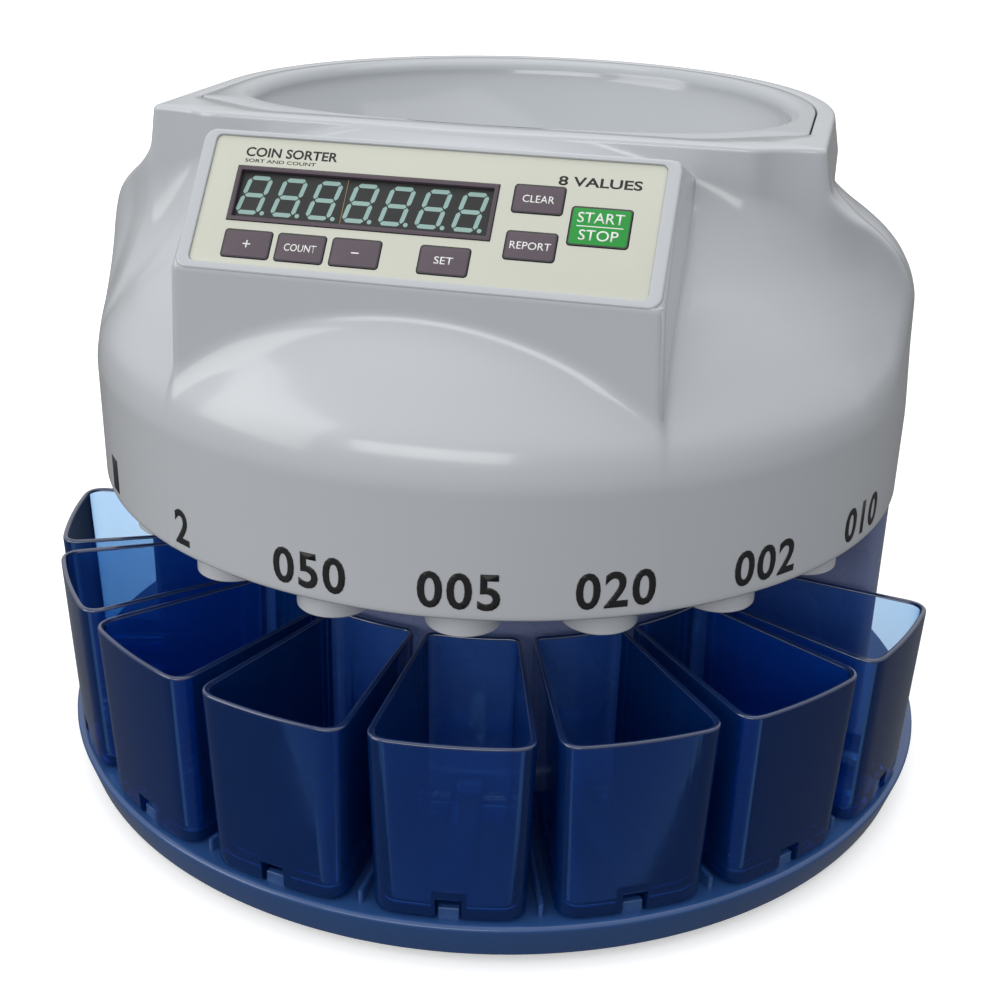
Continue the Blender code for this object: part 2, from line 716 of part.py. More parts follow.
def column_and_rear():
    low, high = TRAY_TOP + GAP / MM, HEAD_BOTTOM - GAP / MM
    column = turned(
        "center_column",
        [(COLUMN_R - SHELL, low), (COLUMN_R + 1.5, low), (COLUMN_R + 1.5, low + 8),
         (COLUMN_R, low + 10), (COLUMN_R, high), (COLUMN_R - SHELL, high)],
        40,
    )
    add_object("center_column", column, "blue_plastic")

    inner = COLUMN_R + 1.9
    half = REAR_HALF_ANGLE
    side_turn = math.degrees(SHELL / REAR_R)
    edge_turn = math.degrees(SHELL / inner)
    outline = (
        arc(REAR_R, 180 - half, 180 + half, 46)
        + arc(inner, 180 + half, 180 + half - edge_turn, 1)
        + arc(REAR_R - SHELL, 180 + half - side_turn, 180 - half + side_turn, 46)
        + arc(inner, 180 - half + edge_turn, 180 - half, 1)
    )
    rear = prism("rear_housing", outline, low, high)
    cutters = [
        box_mesh("inlet_hole", (-24 - 14, 140, 34), (-24 + 14, 170, 55)),
        box_mesh("switch_hole", (17, 140, 34), (31.4, 170, 55)),
    ]
    turn = Matrix.Rotation(math.radians(MIDDLE_BIN_ANGLE), 4, "Z")
    rear = combine(rear, cutters, "DIFFERENCE")
    rear.transform(turn)
    add_object("rear_housing", rear, "blue_plastic")

    frame = empty("rear_frame", rotation=(0, 0, MIDDLE_BIN_ANGLE))
    inlet = box_mesh("power_inlet", (-24 - 13.7, 143, 34.3), (-24 + 13.7, 156.6, 54.7))
    socket = box_mesh("socket", (-24 - 10.5, 146, 37.5), (-24 + 10.5, 158, 51.5))
    add_object("power_inlet", combine(inlet, [socket], "DIFFERENCE"), "black_plastic", parent=frame)

    bezel = box_mesh("switch_bezel", (17.3, 143, 34.3), (31.1, 156.6, 54.7))
    well = box_mesh("well", (19.2, 140, 36.6), (29.2, 158, 52.4))
    add_object("switch_bezel", combine(bezel, [well], "DIFFERENCE"), "black_plastic", parent=frame)
    rocker_outline = [(-6.6, -3.5), (-7.0, 5.6), (0, 4.4), (7.0, 5.6), (6.6, -3.5)]
    rocker = loft("power_rocker", [[(x, y, z) for z, y in rocker_outline] for x in (-4.7, 4.7)])
    rocker.transform(Matrix.Rotation(math.radians(-ROCKER_TILT), 4, "X"))
    add_object(
        "power_rocker", rocker, "black_plastic", location=(24.2, 151.5, 44.5), parent=frame
    )

    board = box_mesh("power_board", (-45, 124, 62), (45, 125.6, 112))
    add_object("power_board", board, "circuit_board", parent=frame)


# The sorting mechanism, its drive and the chutes.


def gear_outline(teeth, phase, thick):
    """A spur gear's outline with straight-sided teeth; thick is the tooth's share of the pitch."""
    pitch_r = GEAR_MODULE * teeth / 2
    tip, root = pitch_r + 0.85 * GEAR_MODULE, pitch_r - 1.15 * GEAR_MODULE
    step = 360 / teeth
    points = []
    for i in range(teeth):
        middle = phase + i * step
        for radius, share in [(root, -0.34), (tip, -0.15), (tip, 0.15), (root, 0.34)]:
            share *= thick
            points.append(polar(radius, middle + share * step))
    return points


def mechanism():
    axis = (0.0, DISC_Y)
    pinion_y = DISC_Y + GEAR_MODULE * (GEAR_TEETH + PINION_TEETH) / 2

    plate = turned(
        "sorter_plate",
        [(11.0, SORTER_Z - 16), (15.0, SORTER_Z - 16), (15.0, SORTER_Z), (124, SORTER_Z),
         (124, SORTER_Z + 2.5), (11.0, SORTER_Z + 2.5)],
        40, axis,
    )
    holes = []
    for i in range(len(COIN_SIZES)):
        x, y = polar(101.0, chute_angle(i))
        holes.append(prism("hole", circle(13.6, 12, (x, y)), SORTER_Z - 5, SORTER_Z + 6))
    plate = combine(plate, holes, "DIFFERENCE")
    add_object("sorter_plate", plate, "steel")

    rail = turned(
        "sorting_rail",
        [(DISC_R + 2, SORTER_Z + 2.8), (84, SORTER_Z + 2.8), (84, SORTER_Z + 10.5),
         (DISC_R + 2, SORTER_Z + 10.5)],
        48, axis,
    )
    gates = []
    for i in range(len(COIN_SIZES)):
        gate = box_mesh(
            "gate", (-9 + 0.6 * i, -95, SORTER_Z + 7.0), (9 - 0.6 * i, -50, SORTER_Z + 14)
        )
        gate.transform(Matrix.Rotation(math.radians(chute_angle(i)), 4, "Z"))
        gate.transform(Matrix.Translation((0, DISC_Y * MM, 0)))
        gates.append(gate)
    add_object("sorting_rail", combine(rail, gates, "DIFFERENCE"), "steel")

    disc = turned(
        "sorting_disc",
        [(4.3, DISC_Z - 4), (12, DISC_Z - 4), (12, DISC_Z - 1), (DISC_R, DISC_Z - 1),
         (DISC_R, DISC_Z + 1.2), (30, DISC_Z + 1.2), (18, DISC_Z + 3), (4.3, DISC_Z + 3)],
        36,
    )
    bars = []
    for i in range(6):
        bar = box_mesh("bar", (-1.5, 24, DISC_Z + 0.5), (1.5, DISC_R - 4, DISC_Z + 2.8))
        bar.transform(Matrix.Rotation(math.tau * i / 6, 4, "Z"))
        bars.append(bar)
    add_object("sorting_disc", combine(disc, bars, "UNION"), "rubber", location=(*axis, 0))
    cap = turned(
        "disc_cap",
        [(0, DISC_Z + 3.3), (14, DISC_Z + 3.3), (13, DISC_Z + 7), (6, DISC_Z + 12), (0, DISC_Z + 13)],
        32,
    )
    add_object("disc_cap", cap, "nylon", location=(*axis, 0))
    shaft = turned("drive_shaft", [(0, 158), (4, 158), (4, DISC_Z + 2.9), (0, DISC_Z + 2.9)], 24)
    add_object("drive_shaft", shaft, "steel", location=(*axis, 0))
    for name, low in [("bearing_upper", SORTER_Z - 3.5), ("bearing_lower", SORTER_Z - 15.5)]:
        ring = [(4.3, low), (10.7, low), (10.7, low + 5), (4.3, low + 5)]
        ring = turned(name, ring, 20)
        add_object(name, ring, "steel", location=(*axis, 0))

    gear = prism("drive_gear", gear_outline(GEAR_TEETH, 0.0, 1.0), 161, 168)
    bore = prism("bore", circle(4.3, 24), 155, 175)
    add_object("drive_gear", combine(gear, [bore], "DIFFERENCE"), "nylon", location=(*axis, 0))
    half_tooth = 180 / PINION_TEETH
    pinion = prism("motor_pinion", gear_outline(PINION_TEETH, half_tooth, 1.0), 160, 169)
    stub = prism("stub", circle(2.5, 16), 157.3, 161)
    pinion = combine(pinion, [stub], "UNION")
    add_object("motor_pinion", pinion, "brass", location=(0, pinion_y, 0))

    motor = turned(
        "motor",
        [(0, 131), (4, 131), (4, 134), (20, 134), (21, 135), (21, 154), (20, 155), (7, 155),
         (7, 157), (0, 157)],
        32,
    )
    add_object("motor", motor, "steel", location=(0, pinion_y, 0))
    bracket = box_mesh("motor_bracket", (-27, pinion_y - 22, 155.4), (27, pinion_y + 25, 157.4))
    cutters = [prism("hole", circle(8, 20, (0, pinion_y)), 150, 160)]
    posts = [
        box_mesh("post", (sign * 23 - 3, pinion_y + 16, 156.5), (sign * 23 + 3, pinion_y + 22, 185.6))
        for sign in (-1, 1)
    ]
    bracket = combine(combine(bracket, cutters, "DIFFERENCE"), posts, "UNION")
    add_object("motor_bracket", bracket, "steel")

    board = prism(
        "sensor_board",
        arc(116, -60, 78, 24, axis) + arc(87, 78, -60, 24, axis),
        SORTER_Z + 11, SORTER_Z + 12.6,
    )
    add_object("sensor_board", board, "circuit_board")

    floor = turned(
        "head_base_plate",
        [(0, HEAD_BOTTOM + 1.0), (FLOOR_R, HEAD_BOTTOM + 1.0),
         (FLOOR_R, HEAD_BOTTOM + 3.0), (0, HEAD_BOTTOM + 3.0)],
        48,
    )
    holes = []
    for i in range(len(COIN_SIZES)):
        centre = polar(*chute_centre_at(HEAD_BOTTOM + 2.0, i))
        holes.append(prism("hole", circle(15.0, 12, centre), 110, 135))
    add_object("head_base_plate", combine(floor, holes, "DIFFERENCE"), "head_plastic")


def chute_angle(index):
    return MIDDLE_CHUTE_ANGLE + CHUTE_PITCH * (index - (len(COIN_SIZES) - 1) / 2)


CHUTE_BOTTOM = 113.0
CHUTE_STRAIGHT = 128.0
CHUTE_TOP = SORTER_Z - 0.4
CHUTE_OUT_R = 139.0
CHUTE_IN_R = 101.0
CHUTE_RADIUS = 12.8


def chute_centre_at(z, index):
    """(radius, angle) of a chute's middle at a height: upright below, leaning inwards above."""
    share = ease((z - CHUTE_STRAIGHT) / (CHUTE_TOP - CHUTE_STRAIGHT))
    return CHUTE_OUT_R + (CHUTE_IN_R - CHUTE_OUT_R) * share, chute_angle(index)


def coin_chutes():
    for i, size in enumerate(COIN_SIZES):
        outer, inner = [], []
        for z in (CHUTE_BOTTOM, CHUTE_STRAIGHT, 157, CHUTE_TOP):
            centre = polar(*chute_centre_at(z, i))
            outer.append([(x, y, z) for x, y in circle(CHUTE_RADIUS, 12, centre)])
            inner.append([(x, y, z) for x, y in circle(CHUTE_RADIUS - 1.5, 12, centre)])
        add_object(f"coin_chute_{size}", tube_loft("coin_chute", outer, inner), "head_plastic")


clear_scene()
base()
coin_bins()
column_and_rear()
head_housing()
hopper_bowl()
control_panel()
mechanism()
coin_chutes()
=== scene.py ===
"""The looks of the coin sorting machine: its finished surfaces, materials, lights and camera.

Lengths in this script are millimetres until mesh() turns them into metres. The frame is the
CAD's: +Z up, the front towards -Y, the origin below the middle of the base.
"""

import math

import bmesh
import bpy
import numpy as np
from mathutils import Matrix, Vector


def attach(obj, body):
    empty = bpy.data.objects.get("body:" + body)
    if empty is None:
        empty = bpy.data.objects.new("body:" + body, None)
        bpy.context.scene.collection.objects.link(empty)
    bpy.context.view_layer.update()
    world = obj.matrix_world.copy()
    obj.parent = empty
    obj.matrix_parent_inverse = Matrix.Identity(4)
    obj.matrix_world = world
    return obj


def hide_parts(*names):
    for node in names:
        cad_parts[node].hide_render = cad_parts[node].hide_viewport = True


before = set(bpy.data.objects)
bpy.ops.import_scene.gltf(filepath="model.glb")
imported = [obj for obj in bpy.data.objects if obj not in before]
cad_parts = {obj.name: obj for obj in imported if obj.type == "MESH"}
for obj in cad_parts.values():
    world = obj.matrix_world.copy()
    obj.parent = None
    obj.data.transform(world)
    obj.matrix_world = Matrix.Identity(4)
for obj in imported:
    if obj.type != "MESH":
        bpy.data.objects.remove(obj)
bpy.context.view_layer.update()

MM = 0.001

# The dimensions that this script shares with the CAD, in millimetres and degrees.
FOOT_H = 4.0
TRAY_R = 177.5
TRAY_FOOT_R = 173.5
TRAY_TOP = 18.4
BIN_TOP = 88.4
BIN_FLOOR = TRAY_TOP + 0.3
BIN_OUTER_R = 177.4
BIN_INNER_R = 105.0
BIN_HALF_ANGLE = 9.15
BIN_WALL = 2.0
BIN_PITCH = 20.5
MIDDLE_BIN_ANGLE = -1.45
CHUTE_PITCH = 18.4
MIDDLE_CHUTE_ANGLE = -0.4
CHUTE_BOTTOM = 113.0
LABEL_PITCH = 18.2
OUTER_LABEL_PITCH = 20.2
LABEL_CENTRE = 4
LABEL_CENTRE_ANGLE = 8.8
LABEL_Z = 132.3
COIN_SIZES = ["5", "1", "2", "050", "005", "020", "002", "010"]
HEAD_BOTTOM = 121.9
HEAD_TOP = 257.0
DRUM_R = 157.0
SHELL = 2.6
HOPPER_HALF_WIDTH = 118.5
HOPPER_CENTRE_Y = 15.0
HOPPER_FRONT = 61.0
PANEL_TILT = math.radians(50.5)
PANEL_Y = -128.5
PANEL_Z = 222.9
PANEL_W = 146.8
PANEL_H = 44.7
PANEL_BORDER = 2.9
PANEL_TOP_BORDER = 2.2
BOX_HALF = 79.0
BOX_DRAFT = 0.05
BOX_TOP_FALL = 0.31
OVERLAY_FACE = -0.8
DISC_AXIS = (0.0, 8.0)
DISC_R = 58.0
DISC_Z = 197.0
COLUMN_R = 100.0
REAR_R = 156.0
REAR_HALF_ANGLE = 97.0
INLET_X, SWITCH_X, SOCKET_Z = -24.0, 24.2, 44.5
ROCKER_PIVOT_Y = 151.5
CHUTE_TOP = 185.6
CHUTE_OUT_R, CHUTE_IN_R = 139.0, 101.0
CHUTE_RADIUS, CHUTE_BORE = 12.8, 11.3
FOOT_CENTRE_R = 150.0
RIB_INNER_R, RIB_OUTER_R, RIB_HALF_THICK = 112.0, 170.6, 0.9


# ---------------------------------------------------------------- materials


def shader_tree(name):
    made = bpy.data.materials.new(name)
    made.use_nodes = True
    return made, made.node_tree, made.node_tree.nodes["Principled BSDF"]


def noise(tree, scale, detail=3.0, stretch=(1, 1, 1)):
    """Noise over the piece itself, in turns per metre."""
    place = tree.nodes.new("ShaderNodeTexCoord")
    mapping = tree.nodes.new("ShaderNodeMapping")
    mapping.inputs["Scale"].default_value = stretch
    made = tree.nodes.new("ShaderNodeTexNoise")
    made.inputs["Scale"].default_value = scale
    made.inputs["Detail"].default_value = detail
    tree.links.new(place.outputs["Object"], mapping.inputs["Vector"])
    tree.links.new(mapping.outputs["Vector"], made.inputs["Vector"])
    return made.outputs["Fac"]


def ranged(tree, value, low, high):
    made = tree.nodes.new("ShaderNodeMapRange")
    made.inputs["From Min"].default_value = 0.3
    made.inputs["From Max"].default_value = 0.7
    made.inputs["To Min"].default_value = low
    made.inputs["To Max"].default_value = high
    tree.links.new(value, made.inputs["Value"])
    return made.outputs["Result"]


def varied_colour(tree, value, colour, spread):
    """The colour, a little darker and lighter along a noise."""
    ramp = tree.nodes.new("ShaderNodeValToRGB")
    ramp.color_ramp.elements[0].position = 0.3
    ramp.color_ramp.elements[1].position = 0.7
    for element, share in zip(ramp.color_ramp.elements, (1 - spread, 1 + spread)):
        element.color = (*[min(part * share, 1.0) for part in colour], 1.0)
    tree.links.new(value, ramp.inputs["Fac"])
    return ramp.outputs["Color"]


def bumped(tree, shader, value, depth, strength=1.0):
    bump = tree.nodes.new("ShaderNodeBump")
    bump.inputs["Strength"].default_value = strength
    bump.inputs["Distance"].default_value = depth
    tree.links.new(value, bump.inputs["Height"])
    tree.links.new(bump.outputs["Normal"], shader.inputs["Normal"])


def moulded(name, colour, roughness, spread=0.02, grain=900.0, depth=2e-6, coat=0.0):
    """Moulded plastic: uneven in tone and gloss, with the fine grain of its mould."""
    made, tree, shader = shader_tree(name)
    broad = noise(tree, 14.0)
    tree.links.new(varied_colour(tree, broad, colour, spread), shader.inputs["Base Color"])
    fine = noise(tree, grain, 2.0)
    smudges = noise(tree, 45.0, 4.0)
    gloss = ranged(tree, smudges, roughness * 0.85, roughness * 1.2)
    tree.links.new(gloss, shader.inputs["Roughness"])
    shader.inputs["IOR"].default_value = 1.5
    shader.inputs["Coat Weight"].default_value = coat
    shader.inputs["Coat Roughness"].default_value = 0.08
    bumped(tree, shader, fine, depth)
    return made


def metal(name, colour, roughness, stretch=(1, 1, 1)):
    made, tree, shader = shader_tree(name)
    streaks = noise(tree, 260.0, 4.0, stretch)
    tree.links.new(varied_colour(tree, streaks, colour, 0.08), shader.inputs["Base Color"])
    gloss = ranged(tree, streaks, roughness * 0.7, roughness * 1.4)
    tree.links.new(gloss, shader.inputs["Roughness"])
    shader.inputs["Metallic"].default_value = 1.0
    bumped(tree, shader, streaks, 4e-6)
    return made


def clear_wall(name, tint, body_colour, body_share, gloss_tint, roughness):
    """A clear wall that light crosses unbent, with some colour of its own and a polished face."""
    made = bpy.data.materials.new(name)
    made.use_nodes = True
    tree = made.node_tree
    tree.nodes.remove(tree.nodes["Principled BSDF"])
    out = tree.nodes["Material Output"]
    through = tree.nodes.new("ShaderNodeBsdfTransparent")
    through.inputs["Color"].default_value = (*tint, 1.0)
    mirror = tree.nodes.new("ShaderNodeBsdfGlossy")
    mirror.inputs["Color"].default_value = (*gloss_tint, 1.0)
    gloss = ranged(tree, noise(tree, 60.0), roughness * 0.6, roughness * 1.6)
    tree.links.new(gloss, mirror.inputs["Roughness"])
    body = tree.nodes.new("ShaderNodeBsdfDiffuse")
    body.inputs["Color"].default_value = (*body_colour, 1.0)
    clear = tree.nodes.new("ShaderNodeMixShader")
    clear.inputs[0].default_value = body_share
    tree.links.new(through.outputs["BSDF"], clear.inputs[1])
    tree.links.new(body.outputs["BSDF"], clear.inputs[2])
    fresnel = tree.nodes.new("ShaderNodeFresnel")
    fresnel.inputs["IOR"].default_value = 1.4
    mix = tree.nodes.new("ShaderNodeMixShader")
    tree.links.new(fresnel.outputs["Fac"], mix.inputs[0])
    tree.links.new(clear.outputs["Shader"], mix.inputs[1])
    tree.links.new(mirror.outputs["BSDF"], mix.inputs[2])
    tree.links.new(mix.outputs["Shader"], out.inputs["Surface"])
    return made, tree, out


def tinted_plastic(name, colour, density):
    """Clear plastic that darkens with the length of plastic that light crosses."""
    made, tree, out = clear_wall(
        name, (0.985, 0.99, 0.995), (0.01, 0.16, 0.85), 0.10, (0.9, 0.95, 1.0), 0.05
    )
    inside = tree.nodes.new("ShaderNodeVolumeAbsorption")
    inside.inputs["Color"].default_value = (*colour, 1.0)
    inside.inputs["Density"].default_value = density
    tree.links.new(inside.outputs["Volume"], out.inputs["Volume"])
    return made


def circuit(name):
    """Green solder mask with lighter copper runs under it."""
    made, tree, shader = shader_tree(name)
    place = tree.nodes.new("ShaderNodeTexCoord")
    runs = tree.nodes.new("ShaderNodeTexBrick")
    runs.inputs["Scale"].default_value = 160.0
    runs.inputs["Color1"].default_value = (0.006, 0.10, 0.035, 1)
    runs.inputs["Color2"].default_value = (0.008, 0.12, 0.045, 1)
    runs.inputs["Mortar"].default_value = (0.03, 0.26, 0.10, 1)
    runs.inputs["Mortar Size"].default_value = 0.04
    tree.links.new(place.outputs["Object"], runs.inputs["Vector"])
    tree.links.new(runs.outputs["Color"], shader.inputs["Base Color"])
    shader.inputs["Roughness"].default_value = 0.35
    bumped(tree, shader, noise(tree, 1500.0), 5e-6)
    return made


SMOOTH = {"spread": 0.012, "grain": 700.0, "depth": 1.5e-6}
SATIN = {"grain": 2600.0, "depth": 4e-6}
HEAD = moulded("head_abs", (0.47, 0.485, 0.51), 0.20, coat=0.35, **SMOOTH)
BOWL = moulded("bowl_abs", (0.385, 0.405, 0.43), 0.17, coat=0.5, **SMOOTH)
CHUTE = moulded("chute_abs", (0.50, 0.515, 0.54), 0.3, spread=0.015)
TRAY = moulded(
    "tray_abs", (0.022, 0.070, 0.21), 0.24, spread=0.06, grain=800.0, depth=4e-6, coat=0.3
)
COLUMN = moulded("column_abs", (0.15, 0.18, 0.31), 0.26, spread=0.05, coat=0.25)
BIN = tinted_plastic("bin_clear", (0.0, 0.45, 0.78), 300.0)
# The bins' rims: a dark navy painted shade, standing in for how dark clear plastic looks seen edge-on.
BIN_RIM_PAINTED_SHADE = moulded("bin_rim_painted_shade", (0.006, 0.02, 0.085), 0.12, spread=0.1, coat=1.0)
OVERLAY = moulded("overlay_film", (0.545, 0.555, 0.475), 0.36, spread=0.01, **SATIN)
FRAME = moulded("display_frame", (0.070, 0.048, 0.065), 0.4, spread=0.05)
WINDOW = moulded("display_face", (0.012, 0.0135, 0.013), 0.45, spread=0.1)
SEGMENT = moulded("display_segment", (0.26, 0.40, 0.37), 0.45, spread=0.04)
SEAM = moulded("display_seam", (0.30, 0.20, 0.10), 0.5, spread=0.1)
PLUM = moulded("key_plum", (0.092, 0.066, 0.084), 0.38, spread=0.03, **SATIN)
GREEN = moulded("key_green", (0.006, 0.27, 0.028), 0.34, spread=0.03, **SATIN)
EDGE = moulded("key_edge", (0.045, 0.04, 0.05), 0.45, spread=0.05)
WHITE_INK = moulded("white_ink", (0.80, 0.80, 0.78), 0.4, spread=0.01)
BLACK_INK = moulded("black_ink", (0.006, 0.006, 0.007), 0.5, spread=0.1)
BLACK = moulded(
    "black_plastic", (0.012, 0.012, 0.013), 0.42, spread=0.1, grain=1500.0, depth=1.5e-5
)
RUBBER = moulded("rubber", (0.018, 0.018, 0.018), 0.75, spread=0.15, grain=1200.0, depth=2e-5)
NYLON = moulded("nylon", (0.72, 0.70, 0.63), 0.38, spread=0.03)
STEEL = metal("zinc_steel", (0.56, 0.57, 0.60), 0.3)
BRUSHED = metal("brushed_steel", (0.60, 0.60, 0.62), 0.28, (1, 14, 1))
BRASS = metal("brass", (0.72, 0.50, 0.20), 0.28)
CIRCUIT = circuit("circuit_board")


# ---------------------------------------------------------------- mesh tools


def mesh(name, points, faces, slots=None, sharp=35.0):
    """A mesh from millimetre points, shaded smooth but for its sharp edges."""
    made = bpy.data.meshes.new(name)
    made.from_pydata([tuple(float(part) * MM for part in point) for point in points], [], faces)
    if slots is not None:
        made.polygons.foreach_set("material_index", slots)
    bm = bmesh.new()
    bm.from_mesh(made)
    bmesh.ops.remove_doubles(bm, verts=bm.verts, dist=1e-7)
    bmesh.ops.recalc_face_normals(bm, faces=bm.faces)
    if bm.calc_volume(signed=True) < 0:
        bmesh.ops.reverse_faces(bm, faces=bm.faces)
    bm.to_mesh(made)
    bm.free()
    return creased(made, sharp)


def skin(name, rings, caps=False, closed=False, slots=None, sharp=35.0):
    """Skins rings of points: capped at both ends, or closed from the last to the first."""
    count = len(rings[0])
    points = [point for ring in rings for point in ring]
    faces, indices = [], []
    for j in range(len(rings) if closed else len(rings) - 1):
        here, there = j * count, ((j + 1) % len(rings)) * count
        for i in range(count):
            k = (i + 1) % count
            faces.append((here + i, here + k, there + k, there + i))
            indices.append(slots[j] if slots else 0)
    if caps:
        faces.append(tuple(range(count)))
        faces.append(tuple(range(len(points) - count, len(points))))
        indices += [slots[0], slots[-1]] if slots else [0, 0]
    return mesh(name, points, faces, indices, sharp)


def softened_corners(points, radius, steps=4):
    """A closed outline with each corner rounded; radius is one length or one for each corner."""
    made = []
    for i, point in enumerate(points):
        size = radius[i] if isinstance(radius, (list, tuple)) else radius
        before, after = Vector(points[i - 1]), Vector(points[(i + 1) % len(points)])
        corner = Vector(point)
        if size <= 0:
            made.append(tuple(corner))
            continue
        start = corner + (before - corner).normalized() * min(size, (before - corner).length * 0.49)
        end = corner + (after - corner).normalized() * min(size, (after - corner).length * 0.49)
        made += curve_through(start, corner, end, steps)
    return made


def curve_through(start, control, end, steps):
    points = []
    for i in range(steps + 1):
        t = i / steps
        pulled = Vector(control) * 2 * t * (1 - t)
        points.append(tuple(Vector(start) * (1 - t) ** 2 + pulled + Vector(end) * t * t))
    return points


def turned(name, profile, segments=96, centre=(0.0, 0.0), sharp=35.0):
    """Turns a closed (radius, height) outline about a vertical axis."""
    rings = []
    for radius, height in profile:
        radius = max(radius, 0.0)
        rings.append([
            (centre[0] + radius * math.cos(math.tau * i / segments),
             centre[1] + radius * math.sin(math.tau * i / segments), height)
            for i in range(segments)
        ])
    return skin(name, rings, closed=True, sharp=sharp)


def polar(radius, angle):
    """A point at an angle in degrees from the front, positive towards +X."""
    turn = math.radians(angle)
    return radius * math.sin(turn), -radius * math.cos(turn)


def arc(radius, start, end, steps):
    return [polar(radius, start + (end - start) * i / steps) for i in range(steps + 1)]


def rounded_outline(width, height, corner, steps=6, centre=(0.0, 0.0)):
    points = []
    for quarter, (sx, sy) in enumerate([(1, -1), (1, 1), (-1, 1), (-1, -1)]):
        for i in range(steps + 1):
            turn = math.radians(90 * (quarter - 1) + 90 * i / steps)
            points.append((
                centre[0] + sx * (width / 2 - corner) + corner * math.cos(turn),
                centre[1] + sy * (height / 2 - corner) + corner * math.sin(turn),
            ))
    return points


def slab(name, width, height, corner, low, high, edge, centre=(0.0, 0.0), slots=None):
    """A rounded rectangular slab whose top edge is rounded too."""
    steps = 3
    rings = [[(x, y, low) for x, y in rounded_outline(width, height, corner, centre=centre)]]
    for i in range(steps + 1):
        turn = math.radians(90 * i / steps)
        less = edge * (1 - math.cos(turn))
        outline = rounded_outline(
            width - 2 * less, height - 2 * less, max(corner - less, 0.05), centre=centre
        )
        rings.append([(x, y, high - edge + edge * math.sin(turn)) for x, y in outline])
    return skin(name, rings, caps=True, slots=slots)


def prism(name, outline, low, high):
    return skin(name, [[(x, y, z) for x, y in outline] for z in (low, high)], caps=True)


def block(name, low, high):
    outline = [(low[0], low[1]), (high[0], low[1]), (high[0], high[1]), (low[0], high[1])]
    return prism(name, outline, low[2], high[2])


def joined(name, parts):
    """One mesh from (mesh, matrix or None, material index or None to keep its own) parts."""
    bm = bmesh.new()
    for part, place, index in parts:
        start = len(bm.faces)
        copy = part.copy()
        if place is not None:
            copy.transform(place)
        bm.from_mesh(copy)
        bpy.data.meshes.remove(copy)
        if index is not None:
            bm.faces.ensure_lookup_table()
            for face in bm.faces[start:]:
                face.material_index = index
    made = bpy.data.meshes.new(name)
    bm.to_mesh(made)
    bm.free()
    return made


def shown(name, data):
    """A new object for this data, in the scene."""
    made = bpy.data.objects.new(name, data)
    bpy.context.scene.collection.objects.link(made)
    return made


def evaluated(holder, helpers=()):
    """The mesh that an object's modifiers give; the object and its helpers are removed."""
    bpy.context.view_layer.update()
    result = bpy.data.meshes.new_from_object(
        holder.evaluated_get(bpy.context.evaluated_depsgraph_get())
    )
    for obj in [holder, *helpers]:
        bpy.data.objects.remove(obj, do_unlink=True)
    return result


def creased(data, sharp):
    """The mesh, shaded smooth but for its sharp edges."""
    data.shade_smooth()
    data.set_sharp_from_angle(angle=math.radians(sharp))
    return data


def combined(base, others, operation, sharp=35.0):
    """The Boolean of a mesh with others."""
    holder = shown("holder", base)
    helpers = []
    for other in others:
        helpers.append(shown("helper", other))
        modifier = holder.modifiers.new("cut", "BOOLEAN")
        modifier.operation = operation
        modifier.object = helpers[-1]
    return creased(evaluated(holder, helpers), sharp)


def bevelled(base, width, segments=3, limit=40.0, sharp=35.0):
    """The mesh with its sharp edges rounded."""
    holder = shown("holder", base)
    modifier = holder.modifiers.new("round", "BEVEL")
    modifier.width = width * MM
    modifier.segments = segments
    modifier.limit_method = "ANGLE"
    modifier.angle_limit = math.radians(limit)
    return creased(evaluated(holder), sharp)


def lettering(name, text, height, width=None, bold=0.0, thick=0.06, spacing=1.0):
    """Flat lettering in the XY plane, centred, its capitals as tall as height."""
    curve = bpy.data.curves.new(name, "FONT")
    curve.body = text
    curve.size = 1.0
    curve.offset = bold
    curve.space_character = spacing
    curve.resolution_u = 4
    flat = evaluated(shown(name, curve))
    bm = bmesh.new()
    bm.from_mesh(flat)
    bmesh.ops.remove_doubles(bm, verts=bm.verts, dist=1e-5)
    spots = np.array([vert.co[:] for vert in bm.verts])
    low, high = spots.min(0), spots.max(0)
    tall = height * MM / (high[1] - low[1])
    wide = tall if width is None else width * MM / (high[0] - low[0])
    for vert in bm.verts:
        vert.co.x = (vert.co.x - (low[0] + high[0]) / 2) * wide
        vert.co.y = (vert.co.y - (low[1] + high[1]) / 2) * tall
        vert.co.z = 0.0
    top = bmesh.ops.extrude_face_region(bm, geom=bm.faces[:])["geom"]
    for item in top:
        if isinstance(item, bmesh.types.BMVert):
            item.co.z += thick * MM
    bmesh.ops.recalc_face_normals(bm, faces=bm.faces)
    bm.to_mesh(flat)
    bm.free()
    flat.materials.clear()
    return flat


def piece(name, data, materials, body, nodes=(), place=None):
    """Shows a mesh as a piece that rides on a body and stands for CAD nodes."""
    slots = [face.material_index for face in data.polygons]
    data.materials.clear()
    for item in materials if isinstance(materials, (list, tuple)) else [materials]:
        data.materials.append(item)
    data.polygons.foreach_set("material_index", slots)
    made = shown(name, data)
    if place is not None:
        made.matrix_world = place
    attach(made, body)
    if nodes:
        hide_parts(*nodes)


def turn_about_z(angle):
    return Matrix.Rotation(math.radians(angle), 4, "Z")


def move(x, y, z):
    return Matrix.Translation(Vector((x, y, z)) * MM)


# ---------------------------------------------------------------- the head


def smooth_min(a, b, width):
    blend = np.maximum(width - np.abs(a - b), 0.0) / width
    return np.minimum(a, b) - blend * blend * width / 4


def ease(value):
    value = np.clip(value, 0.0, 1.0)
    return value * value * (3 - 2 * value)


